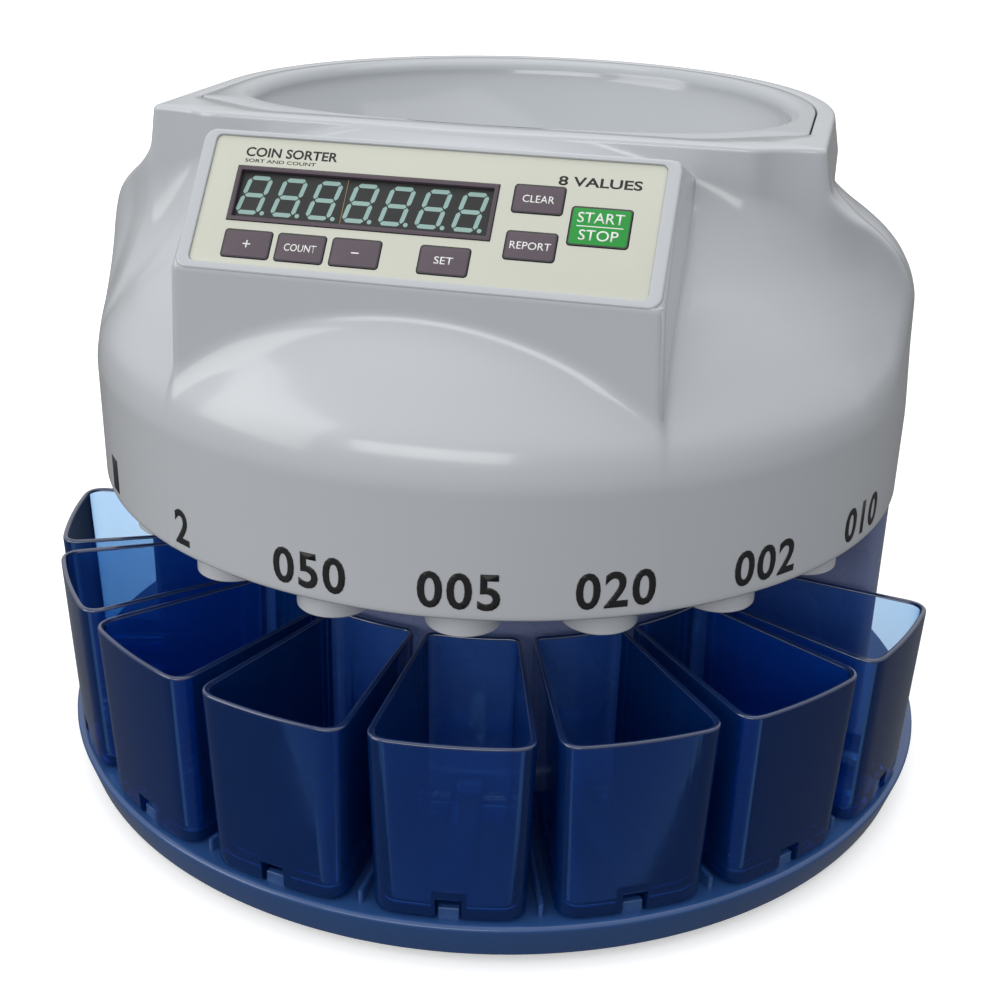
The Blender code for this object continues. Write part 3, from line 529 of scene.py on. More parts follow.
def softened(table, spread, step=0.25):
    """A table's line, smoothed over about the spread, as (positions, values)."""
    xs = np.arange(table[0][0], table[-1][0] + step, step)
    known = np.array(table)
    ys = np.interp(xs, known[:, 0], known[:, 1])
    reach = int(3 * spread / step)
    first, last = ys[1] - ys[0], ys[-1] - ys[-2]
    before = ys[0] + first * np.arange(-reach, 0)
    after = ys[-1] + last * np.arange(1, reach + 1)
    weights = np.exp(-0.5 * (np.arange(-reach, reach + 1) * step / spread) ** 2)
    ys = np.convolve(np.concatenate([before, ys, after]), weights / weights.sum(), "valid")
    return xs, ys


def outline_distance(x, y, half, front, sweep, blend, straight):
    """Signed distance to a hopper outline: round at the rear, straight or curved at the front."""
    shape = np.hypot(x, y - HOPPER_CENTRE_Y) - half
    if straight:
        shape = np.minimum(shape, np.maximum(np.abs(x) - half, y - HOPPER_CENTRE_Y))
    ahead = -y - (front - sweep * ease((np.abs(x) - 70.0) / 46.0))
    return -smooth_min(-shape, -ahead, blend)


def outline_radius(angles, half, front, sweep=0.0, blend=1.0, straight=True):
    """Where rays from the axis leave a hopper outline."""
    turns = np.radians(angles)
    low, high = np.zeros(len(turns)), np.full(len(turns), 200.0)
    for _ in range(40):
        middle = (low + high) / 2
        x, y = middle * np.sin(turns), -middle * np.cos(turns)
        inside = outline_distance(x, y, half, front, sweep, blend, straight) < 0
        low, high = np.where(inside, middle, low), np.where(inside, high, middle)
    return low


def groove_radius(angles, gap):
    return outline_radius(angles, 112.0 - gap, 51.0 - gap, 20.0, blend=6.0)


def mouth_radius(angles):
    return outline_radius(angles, 102.0, 46.0, 0.0, 50.0, False)


SHOULDER = softened([
    (100, 1.0), (166, 1.0), (192, 0.955), (210, 0.935), (216, 0.88), (222, 0.775), (226, 0.66),
    (230, 0.50), (232.5, 0.375), (235.5, 0.25), (238, 0.16), (240, 0.08), (243, 0.0), (270, 0.0),
], 1.6)
CUT_WALL_TABLE = [
    (57.6, 113.8), (60.8, 117.2), (63.4, 123.3), (65.7, 132.4), (70.6, 138.8), (72.7, 141.4),
    (74.8, 146.1), (76.7, 149.5), (78.9, 152.9), (80.7, 155.2), (83.5, 159.0), (90.0, 176.0),
    (110.0, 260.0), (180.0, 300.0),
]
CUT_WALL = softened(
    [(turn, HOPPER_FRONT / math.cos(math.radians(turn))) for turn in range(0, 57)]
    + CUT_WALL_TABLE,
    0.9, 0.1,
)
CUT_FLARE = softened([
    (110, 190), (160, 161.4), (166, 159.0), (171, 157.0), (176, 155.0), (181, 152.4),
    (186.5, 148.6), (190, 146.0), (196, 141.6), (202, 136.3), (209, 129.5), (216, 121.5), (224, 113.0),
    (230, 106.0), (237, 96.0), (243, 84.0), (250, 66.0), (257, 45.0), (264, 30.0),
], 2.2)


def from_front(angles):
    return np.abs((np.asarray(angles) + 180) % 360 - 180)


def box_radius(turn, z):
    """Where rays leave the panel box below its leaning face, a little inside its real faces."""
    half = BOX_HALF + (PANEL_Z - z) * BOX_DRAFT
    side = half / np.maximum(np.sin(np.radians(np.minimum(turn, 90.0))), 0.02)
    above_edge = np.maximum(z - (PANEL_Z - PANEL_BORDER * math.sin(PANEL_TILT)), 0)
    leaning = above_edge / math.tan(PANEL_TILT)
    front = -PANEL_Y + PANEL_BORDER * math.cos(PANEL_TILT) - leaning - 12.0 * ease(leaning / 3.0)
    front = front / np.maximum(np.cos(np.radians(np.minimum(turn, 85.0))), 0.05)
    inset = 0.5 + 110.0 * ease((z - 236.0) / 14.0)
    return smooth_min(side, front, 4.0) - inset


def head_radius(angles, z):
    """The head's outer surface below its rim, for angles along the rows and heights down them."""
    turn = from_front(angles)[None, :]
    z = np.asarray(z, float)[:, None]
    hopper = outline_radius(angles, HOPPER_HALF_WIDTH, 75.0, blend=10.0)[None, :]
    hopper = hopper + np.minimum(0.2 * (HEAD_TOP - z), 2.6)
    sink = 12.0 * ease((turn - 72.0) / 18.0)
    body = hopper + (DRUM_R - hopper) * np.interp(z + sink, *SHOULDER)
    wall = np.interp(turn, *CUT_WALL)
    cut = -smooth_min(-wall, -np.interp(z, *CUT_FLARE), 30.0)
    shape = smooth_min(body, cut, 2.5)
    box = box_radius(turn, z)
    return -smooth_min(-shape, -box, 5.0)


def head_angles():
    """Angles round the head, closer together where the surface turns quickly."""
    marks = [(0, 0.7), (24, 0.7), (26, 0.36), (90, 0.36), (96, 1.0), (180, 1.5)]
    angles = [0.0]
    while angles[-1] < 180:
        angles.append(angles[-1] + float(np.interp(angles[-1], *zip(*marks))))
    half = np.array(angles) * 180.0 / angles[-1]
    return np.concatenate([-half[:0:-1], half[:-1]])


def ring(radii, angles, z):
    turns = np.radians(angles)
    heights = np.full(len(turns), float(z))
    return np.stack([radii * np.sin(turns), -radii * np.cos(turns), heights], 1)


def head_shell():
    """The head's skin as one closed shell: outside, rim, groove wall and inside."""
    angles = head_angles()
    top = HEAD_TOP - 1.8
    levels = np.concatenate([
        [HEAD_BOTTOM + 1.2, 124.5, 130, 138, 146, 153, 158], np.arange(161, top, 0.95), [top],
    ])
    outside = head_radius(angles, levels)
    lip = outside[0]
    rings = [ring(lip - SHELL, angles, HEAD_BOTTOM + 0.4)]
    for turn in (0, 30, 60, 90):
        less = 1.2 * (1 - math.sin(math.radians(turn)))
        rise = 1.2 * (1 - math.cos(math.radians(turn)))
        rings.append(ring(lip - less, angles, HEAD_BOTTOM + rise))
    rings += [ring(radii, angles, z) for radii, z in zip(outside[1:], levels[1:])]
    rim = outside[-1]
    for turn in (18, 36, 54, 72, 90):
        less = 1.8 * (1 - math.cos(math.radians(turn)))
        rings.append(ring(rim - less, angles, top + 1.8 * math.sin(math.radians(turn))))
    groove = groove_radius(angles, 0.0)
    for share in (0.5, 1.0):
        rings.append(ring((rim - 1.8) * (1 - share) + (groove + 0.6) * share, angles, HEAD_TOP))
    for turn in (45, 90):
        less = 0.6 * math.sin(math.radians(turn))
        fall = 0.6 * (1 - math.cos(math.radians(turn)))
        rings.append(ring(groove + 0.6 - less, angles, HEAD_TOP - fall))
    rings.append(ring(groove, angles, HEAD_TOP - 4.0))
    heights = [250.0, 240.0, 228.0, 214.0, 200.0, 185.0, 168.0, 150.0]
    inside = np.maximum(head_radius(angles, heights) - SHELL, groove + 0.4)
    for radii, z in zip(inside, heights):
        rings.append(ring(radii, angles, z))
    return skin("head_shell", rings, closed=True, sharp=50.0)


def panel_place():
    return move(0, PANEL_Y, PANEL_Z) @ Matrix.Rotation(PANEL_TILT, 4, "X")


def panel_box():
    """The wedge behind the panel, with rounded edges and a well for the panel."""
    sink = 0.9
    low = (
        PANEL_Y - PANEL_BORDER * math.cos(PANEL_TILT) + sink * math.sin(PANEL_TILT),
        PANEL_Z - PANEL_BORDER * math.sin(PANEL_TILT) - sink * math.cos(PANEL_TILT),
    )
    length = PANEL_BORDER + PANEL_H + PANEL_TOP_BORDER
    high = (low[0] + length * math.cos(PANEL_TILT), low[1] + length * math.sin(PANEL_TILT))
    back = -57.5
    side_view = [
        low, high, (back, high[1] - (back - high[0]) * BOX_TOP_FALL), (back, 178.0),
        (low[0], 178.0),
    ]
    rings = []
    for sign in (-1, 1):
        rings.append([
            (sign * (BOX_HALF + (PANEL_Z - z) * BOX_DRAFT), y, z) for y, z in side_view
        ])
    wedge = bevelled(skin("wedge", rings, caps=True), 2.0, 5)
    outline = rounded_outline(PANEL_W + 1.4, PANEL_H + 1.4, 2.2, centre=(0, PANEL_H / 2))
    well = prism("well", outline, -5.0, 6.0)
    well.transform(panel_place())
    return combined(wedge, [well], "DIFFERENCE")


def panel_frame():
    """The raised frame round the panel, its corners and both its edges rounded."""
    height = PANEL_BORDER + PANEL_H + PANEL_TOP_BORDER - 0.3
    centre = (0, (PANEL_H + PANEL_TOP_BORDER - PANEL_BORDER) / 2)
    outer, inner = 0.9, 0.35
    steps = []
    for turn in range(0, 91, 15):
        turn = math.radians(turn)
        steps.append((outer * (1 - math.cos(turn)), outer * (math.sin(turn) - 1)))
    rings = []
    for less, z in [(0.0, -6.0)] + steps:
        outline = rounded_outline(155.6 - 2 * less, height - 2 * less, 4.2 - less, centre=centre)
        rings.append([(x, y, z) for x, y in outline])
    for turn in list(range(90, -1, -18)) + [None]:
        less = 0.0 if turn is None else inner * (1 - math.cos(math.radians(turn)))
        z = -5.0 if turn is None else inner * (math.sin(math.radians(turn)) - 1)
        size = 0.12 + 2 * less
        outline = rounded_outline(
            PANEL_W + size, PANEL_H + size, 2.0 + size / 2, centre=(0, PANEL_H / 2)
        )
        rings.append([(x, y, z) for x, y in outline])
    made = skin("frame", rings, closed=True)
    made.transform(panel_place())
    return made


def head():
    parts = [(made, None, 0) for made in (head_shell(), panel_box(), panel_frame())]
    shell = joined("head_housing_shell", parts)
    piece("head_housing_shell", shell, HEAD, "machine", ["head_housing"])


def bowl():
    """The bowl insert: flat rim, rounded lip, and walls that run down to the sorting disc."""
    angles = np.linspace(-180, 180, 361)[:-1]
    thickness, lip, foot = 2.4, 5.5, DISC_Z + 4.0
    rim = groove_radius(angles, 0.55)
    mouth = mouth_radius(angles)
    turns = np.radians(angles)
    x, y = np.sin(turns), -np.cos(turns)
    base = DISC_R + 1.0
    down = y * DISC_AXIS[1] + np.sqrt(np.maximum(base**2 - (x * DISC_AXIS[1]) ** 2, 0))
    inner = [(rim - 0.5, HEAD_TOP), (mouth + lip, HEAD_TOP)]
    for turn in range(10, 91, 10):
        inner.append((
            mouth + lip * (1 - math.sin(math.radians(turn))),
            HEAD_TOP - lip * (1 - math.cos(math.radians(turn))),
        ))
    for level in np.linspace(0.04, 1.0, 26):
        wall_z = HEAD_TOP - lip - (HEAD_TOP - lip - foot) * level
        inner.append((mouth + (down - mouth) * level**1.25, wall_z))
    rings = [ring(rim, angles, HEAD_TOP - 2.4), ring(rim, angles, HEAD_TOP - 0.5)]
    rings.append(ring(rim - 0.15, angles, HEAD_TOP - 0.15))
    rings += [ring(radii, angles, z) for radii, z in inner]
    outer = [(radii + thickness, z - 0.3) for radii, z in inner[11::3]]
    rings += [ring(radii, angles, z) for radii, z in outer[::-1]]
    rings.append(ring(mouth + thickness + 3.0, angles, HEAD_TOP - 2.4))
    data = skin("bowl_insert", rings, closed=True, sharp=50.0)
    piece("bowl_insert", data, BOWL, "machine", ["hopper_bowl"])


def label_angle(index):
    """The middle three values sit a little closer together than the others."""
    place = index - LABEL_CENTRE
    steps = min(abs(place), 1) * LABEL_PITCH + max(abs(place) - 1, 0) * OUTER_LABEL_PITCH
    return LABEL_CENTRE_ANGLE + math.copysign(steps, place)


def head_numbers():
    """The coin values round the drum."""
    for i, size in enumerate(COIN_SIZES):
        angle = label_angle(i)
        width = {1: 7.6, 3: 26.3}[len(size)]
        flat = lettering(f"value_{size}", size, 12.9, width, 0.022, 0.10, 1.12)
        wrap(flat, angle, LABEL_Z, DRUM_R + 0.05)
        piece(f"value_{size}", flat, BLACK_INK, "machine")


def wrap(data, angle, height, radius):
    """Bends flat lettering round the drum, cut into narrow strips first."""
    bm = bmesh.new()
    bm.from_mesh(data)
    reach = max(abs(vert.co.x) for vert in bm.verts)
    for step in range(-14, 15):
        if abs(step * MM) < reach:
            geometry = bm.verts[:] + bm.edges[:] + bm.faces[:]
            bmesh.ops.bisect_plane(
                bm, geom=geometry, plane_co=(step * MM, 0, 0), plane_no=(1, 0, 0)
            )
    bm.to_mesh(data)
    bm.free()
    for vert in data.vertices:
        x, y = polar(radius + vert.co.z / MM, angle + math.degrees(vert.co.x / MM / radius))
        vert.co = Vector((x, y, height + vert.co.y / MM)) * MM


# ---------------------------------------------------------------- the control panel

KEYS = {
    "key_plus": (-55.1, 7.2, 15.7, 9.3, "+"),
    "key_count": (-37.2, 7.2, 15.7, 9.3, "COUNT"),
    "key_minus": (-19.1, 7.2, 15.7, 9.3, "-"),
    "key_set": (9.4, 7.2, 15.7, 9.3, "SET"),
    "key_clear": (35.4, 30.2, 15.7, 9.3, "CLEAR"),
    "key_report": (35.4, 14.45, 15.7, 9.3, "REPORT"),
    "key_start_stop": (55.6, 22.5, 18.5, 12.7, "START"),
}
DISPLAY = (-20.7, 24.75, 86.8, 19.6)


def overlay():
    """The printed film: a thin plate with openings for the display and the keys."""
    plate = slab("plate", PANEL_W, PANEL_H, 2.0, -2.8, OVERLAY_FACE, 0.15, (0, PANEL_H / 2))
    x, y, width, height = DISPLAY
    cutters = [prism("hole", rounded_outline(width, height, 0.3, centre=(x, y)), -6, 3)]
    for x, y, width, height, _ in KEYS.values():
        outline = rounded_outline(width + 0.7, height + 0.7, 1.25, centre=(x, y))
        cutters.append(prism("hole", outline, -6, 3))
    plate = combined(plate, cutters, "DIFFERENCE")
    parts = [(plate, None, 0)]
    for text, size, wide, x, y, bold in [
        ("COIN SORTER", 3.3, 31.0, -47.0, 39.5, 0.02),
        ("SORT AND COUNT", 1.2, 24.0, -50.3, 36.4, 0.012),
        ("8 VALUES", 3.2, 26.0, 53.5, 37.3, 0.02),
    ]:
        ink = lettering("ink", text, size, wide, bold, 0.03)
        parts.append((ink, move(x, y, OVERLAY_FACE), 1))
    data = joined("panel_film", parts)
    data.transform(panel_place())
    piece("panel_film", data, [OVERLAY, BLACK_INK], "machine", ["panel_overlay"])


def keys():
    """Shallow domed keys with a dark edge and white legends."""
    top = OVERLAY_FACE + 0.35
    for name, (x, y, width, height, legend) in KEYS.items():
        collar = slab("collar", width, height, 0.9, -3.0, top - 0.12, 0.1)
        cap = slab("cap", width - 0.7, height - 0.7, 0.75, -2.0, top, 0.14)
        parts = [(collar, None, 1), (cap, None, 0)]
        if legend in "+-":
            parts.append((slab("bar", 2.5, 0.4, 0.05, top - 0.02, top + 0.03, 0.01), None, 2))
        if legend == "+":
            parts.append((slab("bar", 0.4, 2.5, 0.05, top - 0.02, top + 0.03, 0.01), None, 2))
        if legend == "START":
            for text, rise in (("START", 2.9), ("STOP", -2.9)):
                wide = 14.4 if text == "START" else 12.2
                ink = lettering("ink", text, 3.5, wide, 0.004, 0.03)
                parts.append((ink, move(0, rise, top), 2))
            line = slab("bar", 14.4, 0.3, 0.05, top - 0.02, top + 0.03, 0.01)
            parts.append((line, None, 2))
        elif legend not in "+-":
            wide = {"COUNT": 10.6, "SET": 6.0, "CLEAR": 10.0, "REPORT": 12.8}[legend]
            parts.append((lettering("ink", legend, 2.5, wide, 0.004, 0.03), move(0, 0, top), 2))
        data = joined(f"{name}_cap", parts)
        data.transform(panel_place() @ move(x, y, 0))
        green = name == "key_start_stop"
        piece(
            f"{name}_cap", data, [GREEN if green else PLUM, EDGE, WHITE_INK], name, [name],
        )


def segment_outlines():
    """The seven bars of a digit, each a six-sided outline about the digit's middle."""
    half_w, half_h, thick, gap = 3.45, 6.1, 1.45, 0.28

    def bar(x0, y0, x1, y1):
        along = Vector((x1 - x0, y1 - y0)).normalized()
        across = Vector((-along.y, along.x)) * thick / 2
        start, end = Vector((x0, y0)) + along * gap, Vector((x1, y1)) - along * gap
        inner = along * thick / 2
        return [
            start, start + inner + across, end - inner + across, end, end - inner - across,
            start + inner - across,
        ]

    outlines = [bar(-half_w, level, half_w, level) for level in (-half_h, 0, half_h)]
    for side in (-half_w, half_w):
        outlines += [bar(side, -half_h, side, 0), bar(side, 0, side, half_h)]
    return outlines


def display_module(name, node, digits):
    """A dark block of seven-segment digits, unlit, each with its decimal point."""
    to_panel = panel_place().inverted()
    corners = [to_panel @ vert.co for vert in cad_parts[node].data.vertices]
    left, right = min(c.x for c in corners) / MM, max(c.x for c in corners) / MM
    bottom, top = min(c.y for c in corners) / MM, max(c.y for c in corners) / MM
    face, back = max(c.z for c in corners) / MM, min(c.z for c in corners) / MM
    case = slab(
        "case", right - left, top - bottom, 0.3, back, face, 0.12,
        ((left + right) / 2, (top + bottom) / 2),
    )
    parts = [(case, None, 0)]
    slant = math.tan(math.radians(11.0))
    pitch = (right - left) / digits
    for digit in range(digits):
        middle = left + pitch * (digit + 0.5) - 0.5
        height = (top + bottom) / 2
        for outline in segment_outlines():
            points = [(middle + p.x + p.y * slant, height + p.y) for p in outline]
            parts.append((prism("bar", points, face - 0.1, face + 0.04), None, 1))
        dot = [
            (middle + 5.1 + 0.75 * math.cos(math.tau * i / 16) - 6.1 * slant,
             height - 6.1 + 0.75 * math.sin(math.tau * i / 16))
            for i in range(16)
        ]
        parts.append((prism("dot", dot, face - 0.1, face + 0.04), None, 1))
    data = joined(name, parts)
    data.transform(panel_place())
    piece(name, data, [WINDOW, SEGMENT], "machine", [node])


def display():
    x, y, width, height = DISPLAY
    outer = rounded_outline(width - 0.6, height - 0.6, 0.4, centre=(x, y))
    bezel = prism("bezel", outer, -7.0, OVERLAY_FACE + 0.35)
    hole = prism("hole", rounded_outline(width - 3.2, height - 3.2, 0.3, centre=(x, y)), -9, 3)
    bezel = bevelled(combined(bezel, [hole], "DIFFERENCE"), 0.25, 2)
    bezel.transform(panel_place())
    piece("display_surround", bezel, FRAME, "machine", ["display_bezel"])
    display_module("digits_left", "display_3_digit", 3)
    display_module("digits_right", "display_4_digit", 4)
    split = -64.1 + 1.8 + (86.8 - 3.6) * 3 / 7
    seam = block("seam", (split - 0.1, y - 7.9, -2.6), (split + 0.1, y + 7.9, -1.75))
    seam.transform(panel_place())
    piece("digits_seam", seam, SEAM, "machine")


# ---------------------------------------------------------------- the base


def base():
    inner, floor = TRAY_FOOT_R - 3.5, TRAY_TOP - 2.6
    profile = softened_corners(
        [(0, floor), (inner - 4, floor), (inner, floor - 4), (inner, FOOT_H), (TRAY_FOOT_R, FOOT_H),
         (TRAY_R, TRAY_TOP - 1.2), (TRAY_R - 1.2, TRAY_TOP), (0, TRAY_TOP)],
        [0, 1, 1, 0.4, 1.2, 0.9, 0.9, 0], 4,
    )
    parts = [(turned("tray", profile, 288), None, 0)]
    for i in range(len(COIN_SIZES) + 1):
        angle = MIDDLE_BIN_ANGLE + BIN_PITCH * (i - len(COIN_SIZES) / 2)
        parts.append((rib(), turn_about_z(angle), 0))
    for i in range(len(COIN_SIZES)):
        tab = slab("tab", 7.2, 2.5, 0.4, TRAY_TOP - 1.0, TRAY_TOP + 4.5, 0.4, (0, -(TRAY_R - 5.25)))
        parts.append((tab, turn_about_z(bin_angle(i)), 0))
    data = joined("tray_moulding", parts)
    piece("tray_moulding", data, TRAY, "machine", ["base_tray"])

    cover = turned(
        "cover_plate",
        softened_corners(
            [(0, FOOT_H), (inner - 0.8, FOOT_H), (inner - 0.8, 6), (0, 6)], [0, 0.6, 0.6, 0]
        ), 192,
    )
    piece("cover_plate", cover, BLACK, "machine", ["bottom_cover"])
    for i in range(4):
        x, y = polar(FOOT_CENTRE_R, 45 + 90 * i)
        profile = softened_corners(
            [(0, 0), (2.2, 0), (2.2, 0.8), (3.4, 0.8), (3.4, 0), (9, 0), (9, 3.7), (0, 3.7)],
            [0, 0.2, 0.2, 0.2, 0.2, 1.2, 0.2, 0], 3,
        )
        foot = turned("foot", profile, 64)
        piece(
            f"foot_pad_{i + 1}", foot, RUBBER, "machine", [f"rubber_foot_{i + 1}"],
            move(x, y, 0),
        )


def rib():
    """A thin divider between two bins, its outer end rounded."""
    half = RIB_HALF_THICK
    outline = [(half, -RIB_INNER_R)]
    for i in range(9):
        turn = math.pi * i / 8
        outline.append((half * math.cos(turn), -RIB_OUTER_R - half * math.sin(turn)))
    outline.append((-half, -RIB_INNER_R))
    rings = [[(x, y, z) for x, y in outline] for z in (TRAY_TOP - 1.0, TRAY_TOP + 4.6)]
    rings.append([(x * 0.6, y, TRAY_TOP + 5.0) for x, y in outline])
    return skin("rib", rings, caps=True)


def bin_angle(index):
    return MIDDLE_BIN_ANGLE + BIN_PITCH * (index - (len(COIN_SIZES) - 1) / 2)


def bin_outline(outer, inner, half, corner, rear):
    turn, back = math.degrees(corner / outer), math.degrees(rear / inner)
    points = arc(outer, -half + turn, half - turn, 20)
    points += curve_through(points[-1], polar(outer, half), polar(outer - corner, half), 8)[1:]
    points += curve_through(
        polar(inner + rear, half), polar(inner, half), polar(inner, half - back), 5
    )
    points += arc(inner, half - back, -half + back, 8)[1:-1]
    points += curve_through(
        polar(inner, -half + back), polar(inner, -half), polar(inner + rear, -half), 5
    )
    points += curve_through(polar(outer - corner, -half), polar(outer, -half), points[0], 8)[:-1]
    return points


def bin_ring(z, shrink):
    share = (z - BIN_FLOOR) / (BIN_TOP - BIN_FLOOR)
    outer = BIN_OUTER_R - 2.4 * (1 - share) - shrink
    inner = BIN_INNER_R + 1.5 * (1 - share) + shrink
    half = BIN_HALF_ANGLE - 0.45 * (1 - share) - math.degrees(shrink / 145)
    corner, rear = max(8.0 - shrink * 0.9, 2.0), max(4.0 - shrink * 0.6, 1.0)
    return [(x, y, z) for x, y in bin_outline(outer, inner, half, corner, rear)]


def bin_mesh():
    """A bin: rounded outside, a round rim, inside walls that run into the floor."""
    rings, slots = [], []

    def add(z, shrink, slot):
        rings.append(bin_ring(z, shrink))
        slots.append(slot)

    add(BIN_FLOOR, 3.4, 0)
    for turn in (0, 22, 45, 68, 90):
        turn = math.radians(turn)
        add(BIN_FLOOR + 2.2 * (1 - math.cos(turn)), 2.2 * (1 - math.sin(turn)), 0)
    for z in (BIN_FLOOR + 3.2, 35, 52, 70, BIN_TOP - 2.4):
        add(z, 0.0, 0)
    half_wall = BIN_WALL / 2
    # The rim's rounding takes material slot 1: the rim colour, a painted shade of edge-on clear
    # plastic.
    for turn in range(0, 181, 20):
        turn = math.radians(turn)
        add(BIN_TOP - half_wall + half_wall * math.sin(turn), half_wall * (1 - math.cos(turn)), 1)
    slots[-1] = 0
    for z in (BIN_TOP - 2.4, 70, 52, 35, BIN_FLOOR + BIN_WALL + 4.2):
        add(z, BIN_WALL, 0)
    floor = BIN_FLOOR + BIN_WALL
    for turn in (0, 22, 45, 68, 90):
        turn = math.radians(turn)
        add(floor + 3.0 * (1 - math.sin(turn)), BIN_WALL + 3.0 * (1 - math.cos(turn)), 0)
    add(floor, BIN_WALL + 4.2, 0)
    cup = skin("cup", rings, caps=True, slots=slots, sharp=40.0)
    ridge = block(
        "ridge", (-6.0, 3.6 - BIN_OUTER_R, BIN_FLOOR + 0.8),
        (6.0, -2.4 - BIN_INNER_R, BIN_FLOOR + 10.6),
    )
    ridge = bevelled(ridge, 0.8, 3)
    channel = block(
        "channel", (-4.4, -4 - BIN_OUTER_R, BIN_FLOOR - 4),
        (4.4, 6 - BIN_INNER_R, BIN_FLOOR + 9.0),
    )
    cup = combined(cup, [ridge], "UNION", 40.0)
    return combined(cup, [channel], "DIFFERENCE", 40.0)


def bins():
    data = bin_mesh()
    for i, size in enumerate(COIN_SIZES):
        copy = data.copy()
        copy.name = f"bin_{size}"
        copy.transform(turn_about_z(bin_angle(i)))
        piece(
            f"clear_bin_{size}", copy, [BIN, BIN_RIM_PAINTED_SHADE], f"bin_{size}", [f"coin_bin_{size}"],
        )


def column():
    low, high = TRAY_TOP + 0.3, HEAD_BOTTOM - 0.3
    profile = softened_corners(
        [(COLUMN_R - SHELL, low), (COLUMN_R + 1.5, low), (COLUMN_R + 1.5, low + 8),
         (COLUMN_R, low + 10), (COLUMN_R, high), (COLUMN_R - SHELL, high)],
        [0, 0.4, 2.0, 3.0, 0.4, 0], 5,
    )
    data = turned("column_shell", profile, 192)
    piece("column_shell", data, COLUMN, "machine", ["center_column"])


def rear():
    """The rear housing: a curved shell with rounded vertical edges and two openings."""
    low, high = TRAY_TOP + 0.3, HEAD_BOTTOM - 0.3
    inner, half = COLUMN_R + 1.9, REAR_HALF_ANGLE
    edge = math.degrees(SHELL / inner)
    side = math.degrees(SHELL / REAR_R)
    corner = 9.0
    turn = math.degrees(corner / REAR_R)
    outline = curve_through(
        polar(REAR_R - corner, 180 - half), polar(REAR_R, 180 - half),
        polar(REAR_R, 180 - half + turn), 6,
    )
    outline += arc(REAR_R, 180 - half + turn, 180 + half - turn, 120)[1:-1]
    outline += curve_through(
        polar(REAR_R, 180 + half - turn), polar(REAR_R, 180 + half),
        polar(REAR_R - corner, 180 + half), 6,
    )
    outline += [polar(inner, 180 + half), polar(inner, 180 + half - edge)]
    small = corner - SHELL
    bend = math.degrees(small / REAR_R)
    outline += curve_through(
        polar(REAR_R - SHELL - small, 180 + half - side), polar(REAR_R - SHELL, 180 + half - side),
        polar(REAR_R - SHELL, 180 + half - side - bend), 4,
    )
    outline += arc(REAR_R - SHELL, 180 + half - side - bend, 180 - half + side + bend, 100)[1:-1]
    outline += curve_through(
        polar(REAR_R - SHELL, 180 - half + side + bend), polar(REAR_R - SHELL, 180 - half + side),
        polar(REAR_R - SHELL - small, 180 - half + side), 4,
    )
    outline += [polar(inner, 180 - half + edge), polar(inner, 180 - half)]
    shell = prism("rear", outline, low, high)
    cutters = [
        prism_y("inlet_hole", INLET_X, SOCKET_Z, 28.0, 21.0, 1.5, 140, 170),
        prism_y("switch_hole", SWITCH_X, SOCKET_Z, 14.4, 21.0, 1.2, 140, 170),
    ]
    shell = combined(shell, cutters, "DIFFERENCE")
    turned_back = turn_about_z(MIDDLE_BIN_ANGLE)
    shell.transform(turned_back)
    piece("rear_shell", shell, COLUMN, "machine", ["rear_housing"])

    inlet = prism_y("inlet", INLET_X, SOCKET_Z, 27.4, 20.4, 1.2, 143, 156.6)
    socket = socket_outline(INLET_X, SOCKET_Z, 21.0, 14.0, 4.0)
    inlet = combined(inlet, [prism_xz("socket", socket, 146, 158)], "DIFFERENCE")
    inlet = bevelled(inlet, 0.5, 2)
    parts = [(inlet, None, 0)]
    for x, z in ((-29.0, 42.6), (-19.0, 42.6), (INLET_X, 47.2)):
        parts.append((bevelled(prism_y("pin", x, z, 2.0, 4.0, 0.3, 145, 154), 0.25, 2), None, 1))
    data = joined("inlet_socket", parts)
    data.transform(turned_back)
    piece("inlet_socket", data, [BLACK, STEEL], "machine", ["power_inlet"])

    bezel = prism_y("bezel", SWITCH_X, SOCKET_Z, 13.8, 20.4, 1.0, 143, 156.6)
    well = prism_y("well", SWITCH_X, SOCKET_Z, 10.0, 15.8, 0.3, 140, 158)
    bezel = bevelled(combined(bezel, [well], "DIFFERENCE"), 0.4, 2)
    bezel.transform(turned_back)
    piece("switch_surround", bezel, BLACK, "machine", ["switch_bezel"])
    rocker(turned_back)


def socket_outline(x, z, width, height, cut):
    """A mains inlet's outline: a rectangle with its two upper corners cut off."""
    left, right, low, high = x - width / 2, x + width / 2, z - height / 2, z + height / 2
    points = [
        (left, low), (right, low), (right, high - cut), (right - cut, high), (left + cut, high),
        (left, high - cut),
    ]
    return softened_corners(points, 1.2, 4)


def prism_xz(name, outline, front, back):
    return skin(name, [[(x, y, z) for x, z in outline] for y in (front, back)], caps=True)


def prism_y(name, x, z, width, height, corner, front, back):
    return prism_xz(name, rounded_outline(width, height, corner, 4, (x, z)), front, back)


